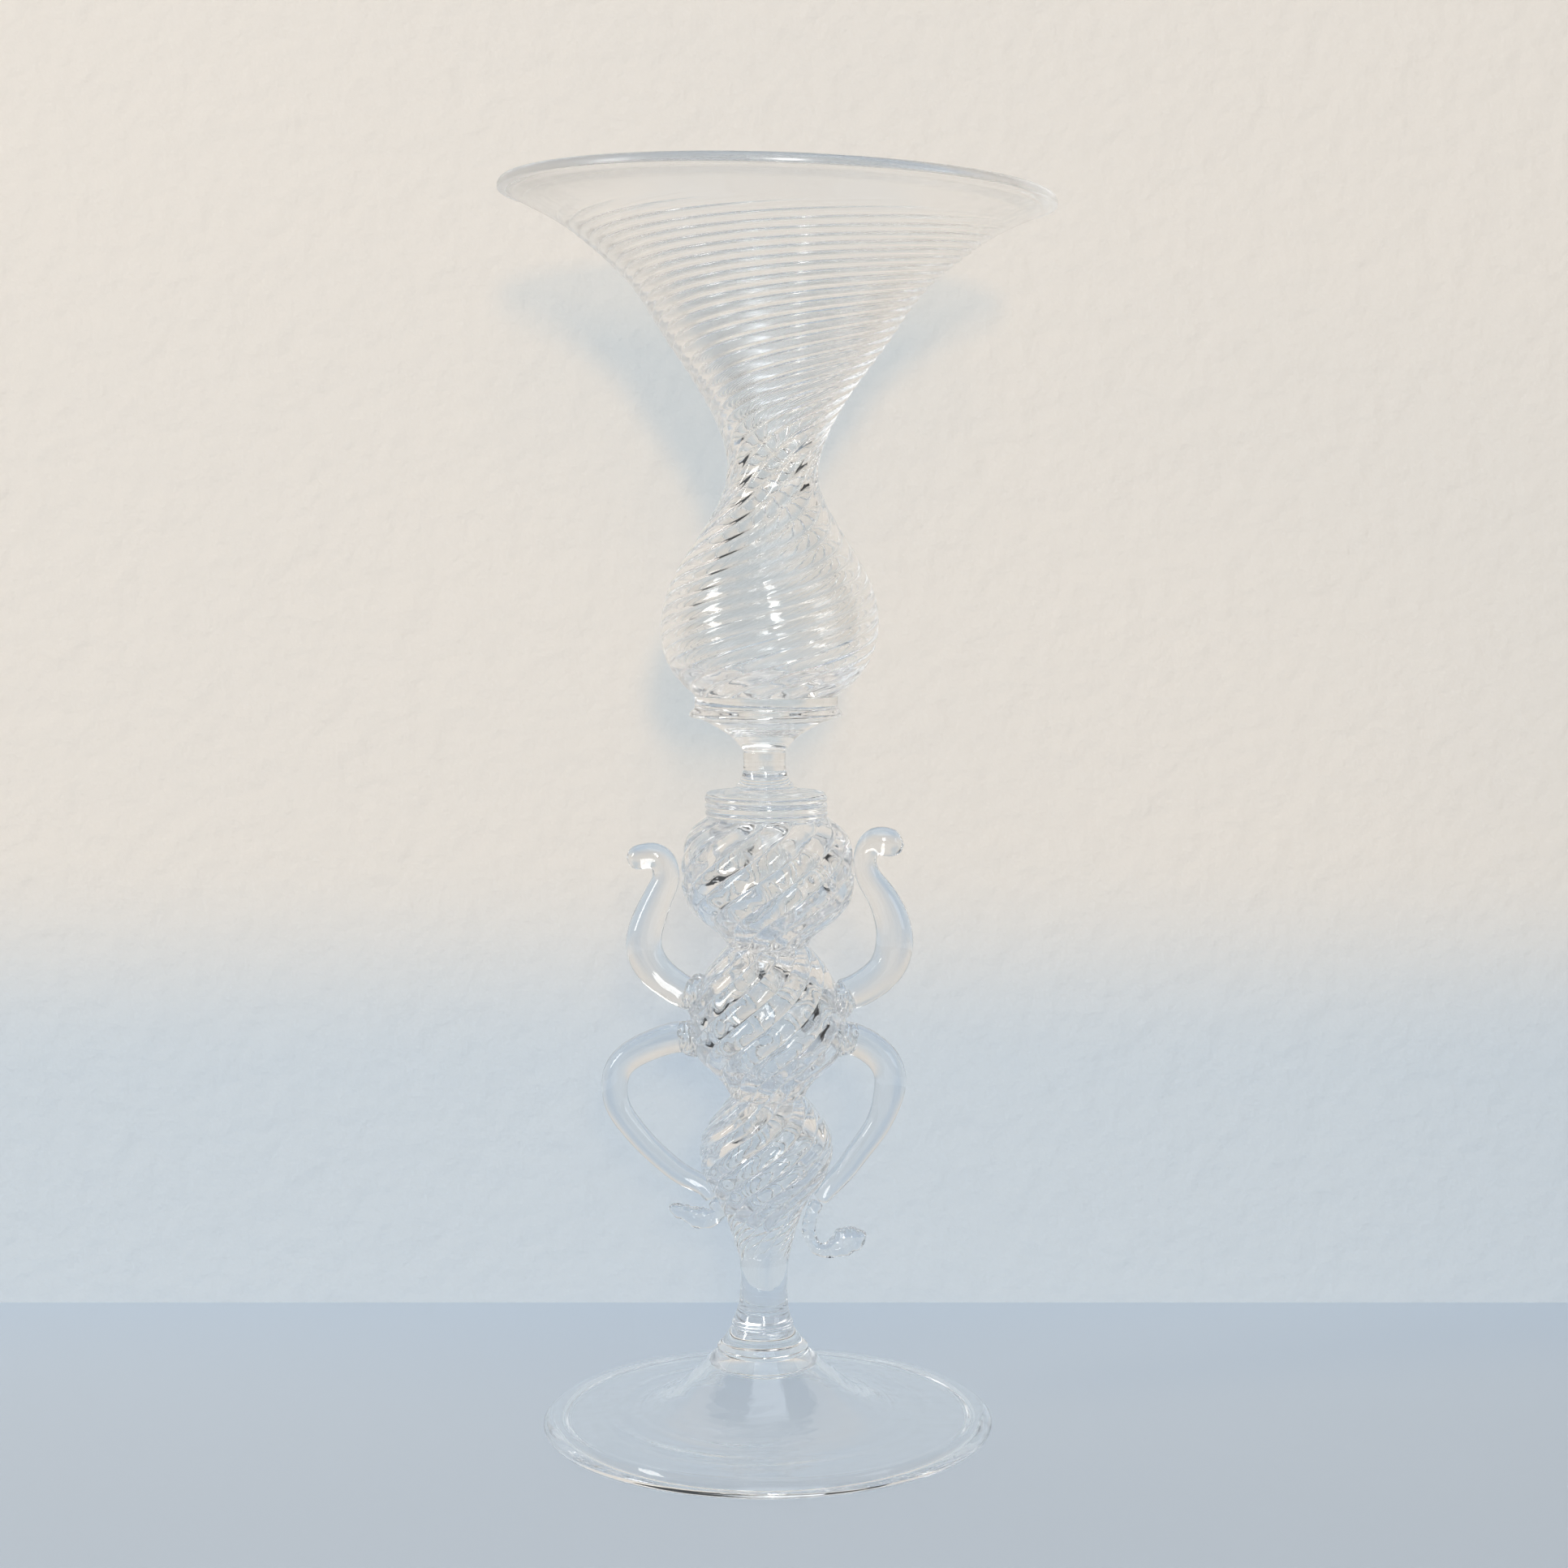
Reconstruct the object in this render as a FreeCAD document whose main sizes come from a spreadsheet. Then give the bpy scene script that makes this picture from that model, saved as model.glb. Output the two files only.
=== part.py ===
import FreeCAD, Part
import math
import os

import Sketcher
from FreeCAD import Vector

# A tall footed drinking glass of colourless blown glass: a conical bowl over a bulb, a stem of three
# twisted hollow knops between mereses, two pairs of applied scroll wings and a folded conical foot.
# The origin is the centre of the ring that the foot stands on, +Z is up and the wings lie along X.

document = FreeCAD.newDocument("Goblet")
sheet = document.addObject("Spreadsheet::Sheet", "Sizes")

# Driving dimensions in millimetres, and counts and turns, from the table up to the rim
SIZES = {
    "foot_radius": 50,
    "foot_rise": 17.2,
    "foot_wall": 1.8,
    "foot_fold": 5.7,
    "fold_height": 3.4,
    "rest_width": 2.6,
    "pontil_drop": 5,
    "post_radius": 10.2,
    "post_height": 5.8,
    "collar_radius": 6.9,
    "collar_height": 5.5,
    "stem_radius": 5.4,
    "stem_height": 8.5,
    "lower_knop_radius": 14.8,
    "lower_knop_height": 37.5,
    "lower_knop_turn": 216,
    "lower_neck_radius": 8.2,
    "middle_knop_radius": 17.3,
    "middle_knop_height": 33.6,
    "middle_knop_turn": 151,
    "upper_neck_radius": 8.8,
    "upper_knop_radius": 19.1,
    "upper_knop_height": 28.5,
    "upper_knop_turn": 137,
    "shoulder_radius": 13,
    "knop_rib_depth": 1.1,
    "knop_wall": 2.2,
    "rib_count": 14,
    "merese_radius": 13.4,
    "merese_ring": 1.6,
    "merese_groove": 0.35,
    "flare_height": 5.2,
    "spool_radius": 4.6,
    "spool_end_radius": 4.85,
    "spool_height": 4.8,
    "bowl_merese_radius": 16.7,
    "bowl_merese_height": 11.7,
    "bowl_merese_edge": 0.8,
    "bowl_base_radius": 15.6,
    "bulb_radius": 23.8,
    "waist_radius": 10,
    "waist_height": 47.5,
    "rim_radius": 60,
    "bowl_height": 108.7,
    "bowl_wall": 1.8,
    "bowl_floor": 3.6,
    "bowl_rib_depth": 0.7,
    "bowl_turn": 1059,
    "plain_band": 5.5,
    "lip_radius": 1.6,
    "upper_left_reach": 27.3,
    "upper_right_reach": 27.9,
    "lower_left_reach": 33.9,
    "lower_right_reach": 27.1,
    "upper_rod": 8,
    "lower_rod": 7,
    "pad_radius": 4.6,
    "pad_depth": 3.5,
    "pad_pinch": 0.7,
    "seat_gap": 0.1,
}
for row, (alias, value) in enumerate(SIZES.items(), start=1):
    sheet.set(f"A{row}", alias)
    sheet.set(f"B{row}", str(value))
    sheet.setAlias(f"B{row}", alias)
document.recompute()


def size(alias):
    """The sheet's value of one driving dimension."""
    return float(sheet.get(alias))


# The pieces of the column in the order in which they stand on each other, with their heights in sheet terms
MERESE_HEIGHT = "3 * Sizes.merese_ring"
COLUMN = [
    ("foot", "Sizes.foot_rise"),
    ("foot_post", "Sizes.post_height"),
    ("foot_collar", "Sizes.collar_height"),
    ("stem", "Sizes.stem_height"),
    ("lower_knop", "Sizes.lower_knop_height"),
    ("middle_knop", "Sizes.middle_knop_height"),
    ("upper_knop", "Sizes.upper_knop_height"),
    ("knop_merese", MERESE_HEIGHT),
    ("merese_flare", "Sizes.flare_height"),
    ("spool", "Sizes.spool_height"),
    ("bowl_merese", "Sizes.bowl_merese_height"),
    ("bowl", "Sizes.bowl_height"),
]


def level_terms(name):
    """The sheet terms that add up to the height at which a piece of the column starts."""
    names = [piece for piece, height in COLUMN]
    below = [height for piece, height in COLUMN[: names.index(name)]]
    return " + ".join(below) if below else "0"


def level(name):
    """The same height as a number, for shapes that Part's own functions make."""
    heights = {"merese": 3 * size("merese_ring")}
    total = 0.0
    for piece, height in COLUMN:
        if piece == name:
            return total
        total += heights["merese"] if height == MERESE_HEIGHT else size(height.split(".")[1])
    return total


# Turned pieces: a sketch of half the section, revolved about the body's own Z axis

# The numbers of a sketch edge's two ends, as the outline runs from one to the other
FORWARDS = (1, 2)
BACKWARDS = (2, 1)


def turned_body(name, outline):
    """Body revolved from corners: radius terms, height terms, radius of the arc that leads there or None."""
    body = document.addObject("PartDesign::Body", name)
    body.Label = name
    sketch = body.newObject("Sketcher::SketchObject", name + "_section")
    plane = [item for item in body.Origin.OriginFeatures if item.Role == "XZ_Plane"][0]
    sketch.AttachmentSupport = [(plane, "")]
    sketch.MapMode = "FlatFace"
    corners = [Vector(terms_value(radius), terms_value(height), 0) for radius, height, bend in outline]
    ends = []
    bends = [bend for radius, height, bend in outline[1:] + outline[:1]]
    for start, end, bend in zip(corners, corners[1:] + corners[:1], bends):
        edge, edge_ends = outline_edge(start, end, bend)
        sketch.addGeometry(edge)
        ends.append(edge_ends)
    for index in range(len(outline)):
        following = (index + 1) % len(outline)
        joint = Sketcher.Constraint("Coincident", index, ends[index][1], following, ends[following][0])
        sketch.addConstraint(joint)
    for index, (radius, height, bend) in enumerate(outline):
        hold(sketch, "DistanceX", (index, ends[index][0]), radius)
        hold(sketch, "DistanceY", (index, ends[index][0]), height)
        if bends[index] is not None:
            hold(sketch, "Radius", (index,), bends[index].lstrip("-"))
    revolution = body.newObject("PartDesign::Revolution", name + "_turned")
    revolution.Profile = sketch
    revolution.ReferenceAxis = (sketch, ["V_Axis"])
    revolution.Angle = 360
    sketch.Visibility = False
    body.setExpression("Placement.Base.z", level_terms(name))
    return body


def outline_edge(start, end, bend):
    """Line or arc between two corners, and which of the edge's ends, 1 or 2, lies at each. An arc bulges to
    the left of the way from start to end, or to the right where its bend starts with a minus sign."""
    if bend is None:
        return Part.LineSegment(start, end), FORWARDS
    radius = abs(terms_value(bend))
    chord = end - start
    half = chord.Length / 2
    to_the_right = Vector(chord.y, -chord.x, 0).normalize()
    towards_centre = to_the_right * -1 if bend.startswith("-") else to_the_right
    centre = (start + end) * 0.5 + towards_centre * math.sqrt(radius * radius - half * half)
    first, last, ends = (start, end, FORWARDS) if bend.startswith("-") else (end, start, BACKWARDS)
    circle = Part.Circle(centre, Vector(0, 0, 1), radius)
    from_angle = circle.parameter(first)
    to_angle = circle.parameter(last)
    if to_angle < from_angle:
        to_angle += 2 * math.pi
    return Part.ArcOfCircle(circle, from_angle, to_angle), ends


def hold(sketch, kind, place, terms):
    """Holds a corner's coordinate or an arc's radius at its sheet terms; the axis itself holds a zero."""
    if terms == "0":
        axis = -2 if kind == "DistanceX" else -1
        sketch.addConstraint(Sketcher.Constraint("PointOnObject", *place, axis))
        return
    origin = () if kind == "Radius" else (-1, 1)
    held = sketch.addConstraint(Sketcher.Constraint(kind, *origin, *place, terms_value(terms)))
    sketch.setExpression(f"Constraints[{held}]", terms)


def terms_value(terms):
    """The number that a string of sheet terms stands for."""
    names = {alias: size(alias) for alias in SIZES}
    total = 0.0
    for part in terms.replace("- ", "+ -").split("+ "):
        factors = part.strip().split(" * ")
        product = 1.0
        for factor in factors:
            sign = -1.0 if factor.startswith("-") else 1.0
            word = factor.lstrip("-").replace("Sizes.", "")
            product *= sign * (names[word] if word in names else float(word))
        total += product
    return total


def foot():
    """Steep hollow cone that spreads into a thin brim with a folded rim, standing on a narrow ring. A blunt
    pontil end of solid glass hangs inside the top of the hollow."""
    fold_start = "Sizes.foot_radius - Sizes.foot_fold"
    ring_start = "Sizes.foot_radius - 0.5 * Sizes.fold_height"
    cone_end = "1.76 * Sizes.post_radius"
    cone_end_height = "0.57 * Sizes.foot_rise"
    brim_start = "0.64 * Sizes.foot_radius"
    brim_height = "1.09 * Sizes.fold_height"
    outline = [
        ("0", "Sizes.foot_rise", None),
        ("Sizes.post_radius", "Sizes.foot_rise", None),
        (cone_end, cone_end_height, None),
        (brim_start, brim_height, "-1.29 * Sizes.foot_rise"),
        (fold_start, "0.9 * Sizes.fold_height", None),
        ("Sizes.foot_radius", "0.45 * Sizes.fold_height", "0.9 * Sizes.foot_fold"),
        (ring_start, "0", "0.55 * Sizes.fold_height"),
        (ring_start + " - Sizes.rest_width", "0", None),
        (fold_start, "0.9 * Sizes.fold_height - Sizes.foot_wall", None),
        (brim_start, brim_height + " - Sizes.foot_wall", None),
        (cone_end + " - 0.69 * Sizes.foot_wall", cone_end_height + " - 0.73 * Sizes.foot_wall",
         "1.4 * Sizes.foot_rise"),
        ("1.06 * Sizes.post_radius", "Sizes.foot_rise - 1.75 * Sizes.foot_wall", None),
        ("0.86 * Sizes.post_radius", "Sizes.foot_rise - Sizes.pontil_drop", "-0.45 * Sizes.pontil_drop"),
        ("0", "Sizes.foot_rise - Sizes.pontil_drop", None),
    ]
    return turned_body("foot", outline)


def foot_post():
    """Short solid cone between the foot and the collar, with a shallow ring near its bottom."""
    outline = [
        ("0", "0", None),
        ("Sizes.post_radius", "0", None),
        ("0.97 * Sizes.post_radius", "0.22 * Sizes.post_height", "-0.3 * Sizes.post_height"),
        ("0.92 * Sizes.post_radius", "0.27 * Sizes.post_height", None),
        ("0.65 * Sizes.post_radius", "Sizes.post_height", "6 * Sizes.post_height"),
        ("0", "Sizes.post_height", None),
    ]
    return turned_body("foot_post", outline)


def foot_collar():
    """Flare that joins the stem to the post, with a thin bead at its foot."""
    outline = [
        ("0", "0", None),
        ("0.98 * Sizes.collar_radius", "0", None),
        ("0.96 * Sizes.collar_radius", "0.16 * Sizes.collar_height", "-0.1 * Sizes.collar_height"),
        ("Sizes.stem_radius", "Sizes.collar_height", "2.4 * Sizes.collar_height"),
        ("0", "Sizes.collar_height", None),
    ]
    return turned_body("foot_collar", outline)


def stem():
    """Solid drawn end of the stem, under the lowest knop."""
    outline = [
        ("0", "0", None),
        ("Sizes.stem_radius", "0", None),
        ("Sizes.stem_radius", "Sizes.stem_height", "6 * Sizes.stem_height"),
        ("0", "Sizes.stem_height", None),
    ]
    return turned_body("stem", outline)


def knop_merese():
    """Disc of three stacked rounded rings on top of the knops."""
    groove = "Sizes.merese_radius - Sizes.merese_groove"
    outline = [("0", "0", None), (groove, "0", None)]
    for ring in range(3):
        outline.append((groove, f"{ring + 1} * Sizes.merese_ring", "-0.62 * Sizes.merese_ring"))
    outline.append(("0", "3 * Sizes.merese_ring", None))
    return turned_body("knop_merese", outline)


def merese_flare():
    """Thin cone from the ringed disc up to a bead under the spool."""
    outline = [
        ("0", "0", None),
        ("Sizes.merese_radius - Sizes.merese_groove", "0", None),
        ("Sizes.merese_radius - Sizes.merese_groove", "0.1 * Sizes.flare_height", None),
        ("1.36 * Sizes.spool_end_radius", "0.3 * Sizes.flare_height", "3 * Sizes.flare_height"),
        ("1.28 * Sizes.spool_end_radius", "0.37 * Sizes.flare_height", None),
        ("Sizes.spool_end_radius", "Sizes.flare_height", "Sizes.flare_height"),
        ("0", "Sizes.flare_height", None),
    ]
    return turned_body("merese_flare", outline)


def spool():
    """Short solid link drawn in at its middle."""
    sag = "Sizes.spool_end_radius"
    outline = [
        ("0", "0", None),
        (sag, "0", None),
        ("Sizes.spool_radius", "0.5 * Sizes.spool_height", "1.4 * Sizes.spool_height"),
        (sag, "Sizes.spool_height", "1.4 * Sizes.spool_height"),
        ("0", "Sizes.spool_height", None),
    ]
    return turned_body("spool", outline)


def bowl_merese():
    """Sharp-edged disc under the bowl, drawn down to the spool, with a collar that the bowl sits on."""
    edge_foot = "0.62 * Sizes.bowl_merese_height"
    outline = [
        ("0", "0", None),
        ("Sizes.spool_end_radius", "0", None),
        ("0.57 * Sizes.bowl_merese_radius", "0.36 * Sizes.bowl_merese_height", "Sizes.bowl_merese_height"),
        ("Sizes.bowl_merese_radius", edge_foot, "1.6 * Sizes.bowl_merese_height"),
        ("Sizes.bowl_merese_radius", edge_foot + " + Sizes.bowl_merese_edge", None),
        ("Sizes.bowl_base_radius", "0.78 * Sizes.bowl_merese_height", None),
        ("Sizes.bowl_base_radius", "Sizes.bowl_merese_height", None),
        ("0", "Sizes.bowl_merese_height", None),
    ]
    return turned_body("bowl_merese", outline)


# Twisted ribbed pieces: an outline track of radius, turn and height, and spiral edges that follow it.
# Each rib's section is given by corners (share of the rib's pitch, share of the rib's depth).

KNOP_RIB_SHARES = [(0, 0), (0.22, 0.8), (0.5, 1), (0.78, 0.8)]
BOWL_RIB_SHARES = [(0, 0), (0.5, 1)]
STEPS_PER_TURN = 24
FEWEST_STEPS = 8

# Knop outlines between the necks, bottom to top: share of the knop's height, share of its widest radius
LOWER_KNOP_SHARES = [
    (0.08, 0.425), (0.17, 0.475), (0.27, 0.56), (0.37, 0.68), (0.46, 0.84), (0.56, 0.955), (0.66, 1),
    (0.76, 0.97), (0.86, 0.83),
]
MIDDLE_KNOP_SHARES = [(0.11, 0.61), (0.22, 0.83), (0.36, 0.98), (0.5, 1), (0.7, 0.9), (0.87, 0.73)]
UPPER_KNOP_SHARES = [(0.1, 0.58), (0.22, 0.81), (0.4, 0.98), (0.6, 1), (0.79, 0.96), (0.92, 0.85)]

# Bowl outline, bottom to top. Up to the waist: share of the waist's height, share of the bulb's radius,
# share of the whole turn, share of the rib depth. Above it: share of the cone's height, share of the way
# from the waist's radius to the rim, and the same two.
BULB_SHARES = [
    (0.065, 0.8, 0.026, 0.55), (0.17, 0.94, 0.068, 0.55), (0.32, 1, 0.126, 0.55), (0.55, 0.887, 0.217, 0.6),
    (0.72, 0.68, 0.276, 0.75),
]
WAIST_SHARES = (0.351, 1)
CONE_SHARES = [
    (0.17, 0.04, 0.406, 1), (0.35, 0.165, 0.5, 0.85), (0.525, 0.313, 0.603, 0.75),
    (0.7, 0.462, 0.724, 0.65), (0.82, 0.625, 0.827, 0.55), (0.92, 0.8, 0.923, 0.3), (1, 1, 1, 0),
]


def smooth_curve(points):
    curve = Part.BSplineCurve()
    curve.interpolate(points)
    return curve


def knop_track(name, shares, foot_radius, top_radius):
    """Curve whose points hold the radius of a knop's rib crests, the way they have gone round, measured at
    the widest radius, and their height; the depth of the ribs below them, in step with the radius; and the
    widest radius."""
    widest = size(name + "_radius")
    height = size(name + "_height")
    way = widest * math.radians(size(name + "_turn"))
    points = [Vector(foot_radius, 0, 0)]
    for height_share, radius_share in shares:
        points.append(Vector(widest * radius_share, way * height_share, height * height_share))
    points.append(Vector(top_radius, way, height))
    track = smooth_curve(points)

    def depth(where):
        return size("knop_rib_depth") * track.value(where).x / widest

    return track, depth, widest


def bowl_track():
    """The same for the bowl, up to the foot of its rolled lip, with rib depths given station by station."""
    widest = size("bulb_radius")
    way = widest * math.radians(size("bowl_turn"))
    waist = size("waist_radius")
    waist_height = size("waist_height")
    lip_foot = lip_place() + lip_to_face()
    stations = [(Vector(size("bowl_base_radius"), 0, 0), BULB_SHARES[0][3])]
    for height_share, radius_share, turn_share, depth_share in BULB_SHARES:
        radius = widest * radius_share
        stations.append((Vector(radius, way * turn_share, waist_height * height_share), depth_share))
    stations.append((Vector(waist, way * WAIST_SHARES[0], waist_height), WAIST_SHARES[1]))
    for height_share, radius_share, turn_share, depth_share in CONE_SHARES:
        radius = waist + (lip_foot.x - waist) * radius_share
        height = waist_height + (lip_foot.z - waist_height) * height_share
        stations.append((Vector(radius, way * turn_share, height), depth_share))
    track = smooth_curve([place for place, depth_share in stations])
    deepest = size("bowl_rib_depth")
    marks = [(track.parameter(place), deepest * depth_share) for place, depth_share in stations]

    def depth(where):
        for (low, low_depth), (high, high_depth) in zip(marks, marks[1:]):
            if where <= high:
                return low_depth + (high_depth - low_depth) * (where - low) / (high - low)
        return marks[-1][1]

    return track, depth, widest


RIM_SLOPE = math.radians(35)


def lip_place():
    """Centre of the rolled lip's round section, as radius and height."""
    lip = size("lip_radius")
    return Vector(size("rim_radius") - lip, 0, size("bowl_height") - lip)


def lip_to_face():
    """From the middle of the wall to its outer face, square to the wall's slope at the rim."""
    half_wall = size("bowl_wall") / 2
    return Vector(half_wall * math.sin(RIM_SLOPE), 0, -half_wall * math.cos(RIM_SLOPE))


def spiral(ribs, start_angle, depth_share, last):
    """Edge along the track from a start angle, sunk below the crests by a share of the rib depth."""
    track, depth, widest = ribs
    first = track.FirstParameter
    turn = (track.value(last).y - track.value(first).y) / widest
    steps = max(FEWEST_STEPS, round(STEPS_PER_TURN * turn / (2 * math.pi)))
    points = []
    for step in range(steps + 1):
        where = first + (last - first) * step / steps
        radius, way, height = track.value(where)
        angle = start_angle + way / widest
        reach = radius - depth(where) * depth_share
        points.append(Vector(reach * math.cos(angle), reach * math.sin(angle), height))
    return smooth_curve(points).toShape()


def ribbed_solid(ribs, rib_shares, last, start_angle=0.0):
    """Closed solid whose side is made of strips, each ruled between two neighbouring spirals."""
    count = round(size("rib_count"))
    pitch = 2 * math.pi / count
    edges = []
    for rib in range(count):
        for pitch_share, rise_share in rib_shares:
            angle = start_angle + pitch * (rib + pitch_share)
            edges.append(spiral(ribs, angle, 1 - rise_share, last))
    same_way = 1
    faces = []
    for near, far in zip(edges, edges[1:] + edges[:1]):
        faces.extend(Part.makeRuledSurface(near, far, same_way).Faces)
    for end in (0, -1):
        corners = [edge.Vertexes[end].Point for edge in edges]
        faces.append(Part.Face(Part.makePolygon(corners + corners[:1])))
    solid = Part.Solid(Part.Shell(faces))
    if solid.Volume < 0:
        solid.reverse()
    return solid


def half_section(points):
    """Face in the XZ plane between the axis and a smooth side through the points, from foot to top."""
    bottom, top = points[0], points[-1]
    edges = [smooth_curve(points).toShape()]
    if top.x > 0:
        edges.append(Part.makeLine(top, Vector(0, 0, top.z)))
    edges.append(Part.makeLine(Vector(0, 0, top.z), Vector(0, 0, bottom.z)))
    if bottom.x > 0:
        edges.append(Part.makeLine(Vector(0, 0, bottom.z), bottom))
    return Part.Face(Part.Wire(edges))


def turned(section):
    """Solid of revolution of a half section about Z."""
    return section.revolve(Vector(), Vector(0, 0, 1), 360)


def section_point(track, where, inset=0.0):
    """Point of a track in the XZ plane, moved inwards, square to the outline."""
    radius, turned, height = track.value(where)
    along_radius, along_turn, along_height = track.tangent(where)[0]
    along = Vector(along_radius, 0, along_height).normalize()
    inwards = Vector(-along.z, 0, along.x)
    return Vector(radius, 0, height) + inwards * inset


def envelope(track, clearance):
    """Smooth solid that touches the crests of a ribbed knop, wider all round by a clearance."""
    first, last = track.FirstParameter, track.LastParameter
    count = 2 * track.NbPoles
    places = [first + (last - first) * step / count for step in range(count + 1)]
    return turned(half_section([section_point(track, where, -clearance) for where in places]))


def bubble(track, wall, bottom, top):
    """Closed air space inside a knop, a wall's thickness inside the crests, pointed at both ends."""
    first, last = track.FirstParameter, track.LastParameter
    count = track.NbPoles
    inner = []
    for step in range(1, count):
        point = section_point(track, first + (last - first) * step / count, wall)
        if bottom + wall < point.z < top - wall:
            inner.append(point)
    return turned(half_section([Vector(0, 0, bottom)] + inner + [Vector(0, 0, top)]))


# Knop tracks and the radii of the necks between them
STEM, LOWER_NECK = size("stem_radius"), size("lower_neck_radius")
UPPER_NECK, SHOULDER = size("upper_neck_radius"), size("shoulder_radius")
KNOP_TRACKS = {
    "lower_knop": knop_track("lower_knop", LOWER_KNOP_SHARES, STEM, LOWER_NECK),
    "middle_knop": knop_track("middle_knop", MIDDLE_KNOP_SHARES, LOWER_NECK, UPPER_NECK),
    "upper_knop": knop_track("upper_knop", UPPER_KNOP_SHARES, UPPER_NECK, SHOULDER),
}


def add_piece(name, shape, base_terms=None):
    """Part feature with a name, a shape and a place on the column."""
    piece = document.addObject("Part::Feature", name)
    piece.Label = name
    piece.Shape = shape
    if base_terms is not None:
        piece.setExpression("Placement.Base.z", base_terms)
    return piece


def knop(name):
    """Hollow blown knop with a sealed bubble and twisted ribs that run on from the knop below."""
    track = KNOP_TRACKS[name][0]
    names = list(KNOP_TRACKS)
    turned_below = sum(size(below + "_turn") for below in names[: names.index(name)])
    skin = ribbed_solid(KNOP_TRACKS[name], KNOP_RIB_SHARES, track.LastParameter, math.radians(turned_below))
    wall = size("knop_wall") + size("knop_rib_depth")
    air = bubble(track, wall, wall, size(name + "_height") - wall)
    return add_piece(name, skin.cut(air), level_terms(name))


def bowl():
    """Hollow vessel: ribbed bulb, waist and cone, a plain band under the rim and a rolled lip."""
    ribs = bowl_track()
    track = ribs[0]
    last = track.LastParameter
    lip = lip_place()
    rib_end = parameter_at_height(track, lip.z - size("plain_band"))
    space = cavity_section(track)
    ribbed = ribbed_solid(ribs, BOWL_RIB_SHARES, rib_end).cut(turned(space))
    band_share = (0, 0.5, 1)
    band = half_section([section_point(track, rib_end + (last - rib_end) * share) for share in band_share])
    roll = Part.Face(Part.Wire(Part.Circle(lip, Vector(0, 1, 0), size("lip_radius")).toShape()))
    rim = band.cut(space).fuse(roll).removeSplitter()
    return add_piece("bowl", ribbed.fuse(turned(rim)).removeSplitter(), level_terms("bowl"))


def cavity_section(track):
    """Half section of the space in the bowl, from its rounded floor through the waist to above the rim."""
    first, last = track.FirstParameter, track.LastParameter
    wall = size("bowl_wall") + size("bowl_rib_depth") / 2
    floor = size("bowl_floor")
    points = [Vector(0, 0, floor)]
    count = 2 * len(CONE_SHARES + BULB_SHARES)
    for step in range(1, count + 1):
        point = section_point(track, first + (last - first) * step / count, wall)
        if point.z > floor + wall:
            points.append(point)
    outwards = points[-1] - points[-2]
    points.append(points[-1] + outwards.normalize() * (4 * size("lip_radius")))
    return half_section(points)


def parameter_at_height(track, height):
    """Where a track that only rises reaches a height, found by halving."""
    low, high = track.FirstParameter, track.LastParameter
    for step in range(40):
        middle = (low + high) / 2
        if track.value(middle).z < height:
            low = middle
        else:
            high = middle
    return (low + high) / 2


# Applied trails: rods that grow and shrink along a smooth path in the XZ plane. Rows are (carrier, share of
# the way from the carrier's radius to the wing's reach, height share, width share, flatness share). Height
# shares run from the belly of the knop below to the belly of the knop above; flatness is depth over width,
# and the drawn rods are nearly round.

MIDDLE = "middle_knop_radius"
UPPER = "upper_knop_radius"
LOWER = "lower_knop_radius"
UPPER_LEFT_SHARES = [
    (MIDDLE, -0.5, 0.14, 0.85, 0.97), (MIDDLE, 0, 0.18, 0.88, 0.97), (MIDDLE, 0.4, 0.25, 0.92, 0.97),
    (MIDDLE, 0.8, 0.355, 0.98, 0.97), (MIDDLE, 1, 0.5, 1, 0.97), (MIDDLE, 0.94, 0.62, 0.95, 0.97),
    (MIDDLE, 0.8, 0.73, 0.88, 0.97), (UPPER, 0.55, 0.84, 0.8, 0.97), (UPPER, 0.41, 0.92, 0.76, 0.97),
    (UPPER, 0.4, 0.98, 0.74, 0.97), (UPPER, 0.52, 1.05, 0.73, 0.97), (UPPER, 0.8, 1.08, 0.72, 0.97),
    (UPPER, 1.12, 1.07, 0.68, 0.97), (UPPER, 1.36, 1.07, 0.58, 0.97), (UPPER, 1.46, 1.07, 0.36, 0.97),
]
UPPER_RIGHT_SHARES = [
    (MIDDLE, -0.5, 0.14, 0.88, 0.97), (MIDDLE, 0.1, 0.19, 0.92, 0.97), (MIDDLE, 0.5, 0.255, 0.96, 0.97),
    (MIDDLE, 0.85, 0.36, 1, 0.97), (MIDDLE, 1, 0.5, 1.04, 0.97), (MIDDLE, 0.98, 0.62, 0.98, 0.97),
    (MIDDLE, 0.87, 0.73, 0.9, 0.97), (UPPER, 0.62, 0.84, 0.8, 0.97), (UPPER, 0.36, 0.94, 0.7, 0.97),
    (UPPER, 0.26, 1.03, 0.64, 0.97), (UPPER, 0.3, 1.11, 0.66, 0.97), (UPPER, 0.52, 1.17, 0.76, 0.97),
    (UPPER, 0.85, 1.165, 0.78, 0.97), (UPPER, 1.13, 1.15, 0.62, 0.97), (UPPER, 1.24, 1.15, 0.44, 0.97),
]
LOWER_LEFT_SHARES = [
    (MIDDLE, -0.3, 0.89, 1, 0.97), (MIDDLE, 0.2, 0.88, 0.98, 0.97), (MIDDLE, 0.48, 0.83, 0.94, 0.97),
    (MIDDLE, 0.75, 0.755, 0.9, 0.97), (MIDDLE, 0.94, 0.65, 0.86, 0.97), (MIDDLE, 1, 0.51, 0.83, 0.97),
    (MIDDLE, 0.95, 0.35, 0.78, 0.97), (LOWER, 0.81, 0.2, 0.74, 0.97), (LOWER, 0.62, 0.055, 0.7, 0.97),
    (LOWER, 0.4, -0.08, 0.68, 0.97), (LOWER, 0.17, -0.19, 0.66, 0.97), (LOWER, -0.034, -0.262, 0.62, 0.97),
]
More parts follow.
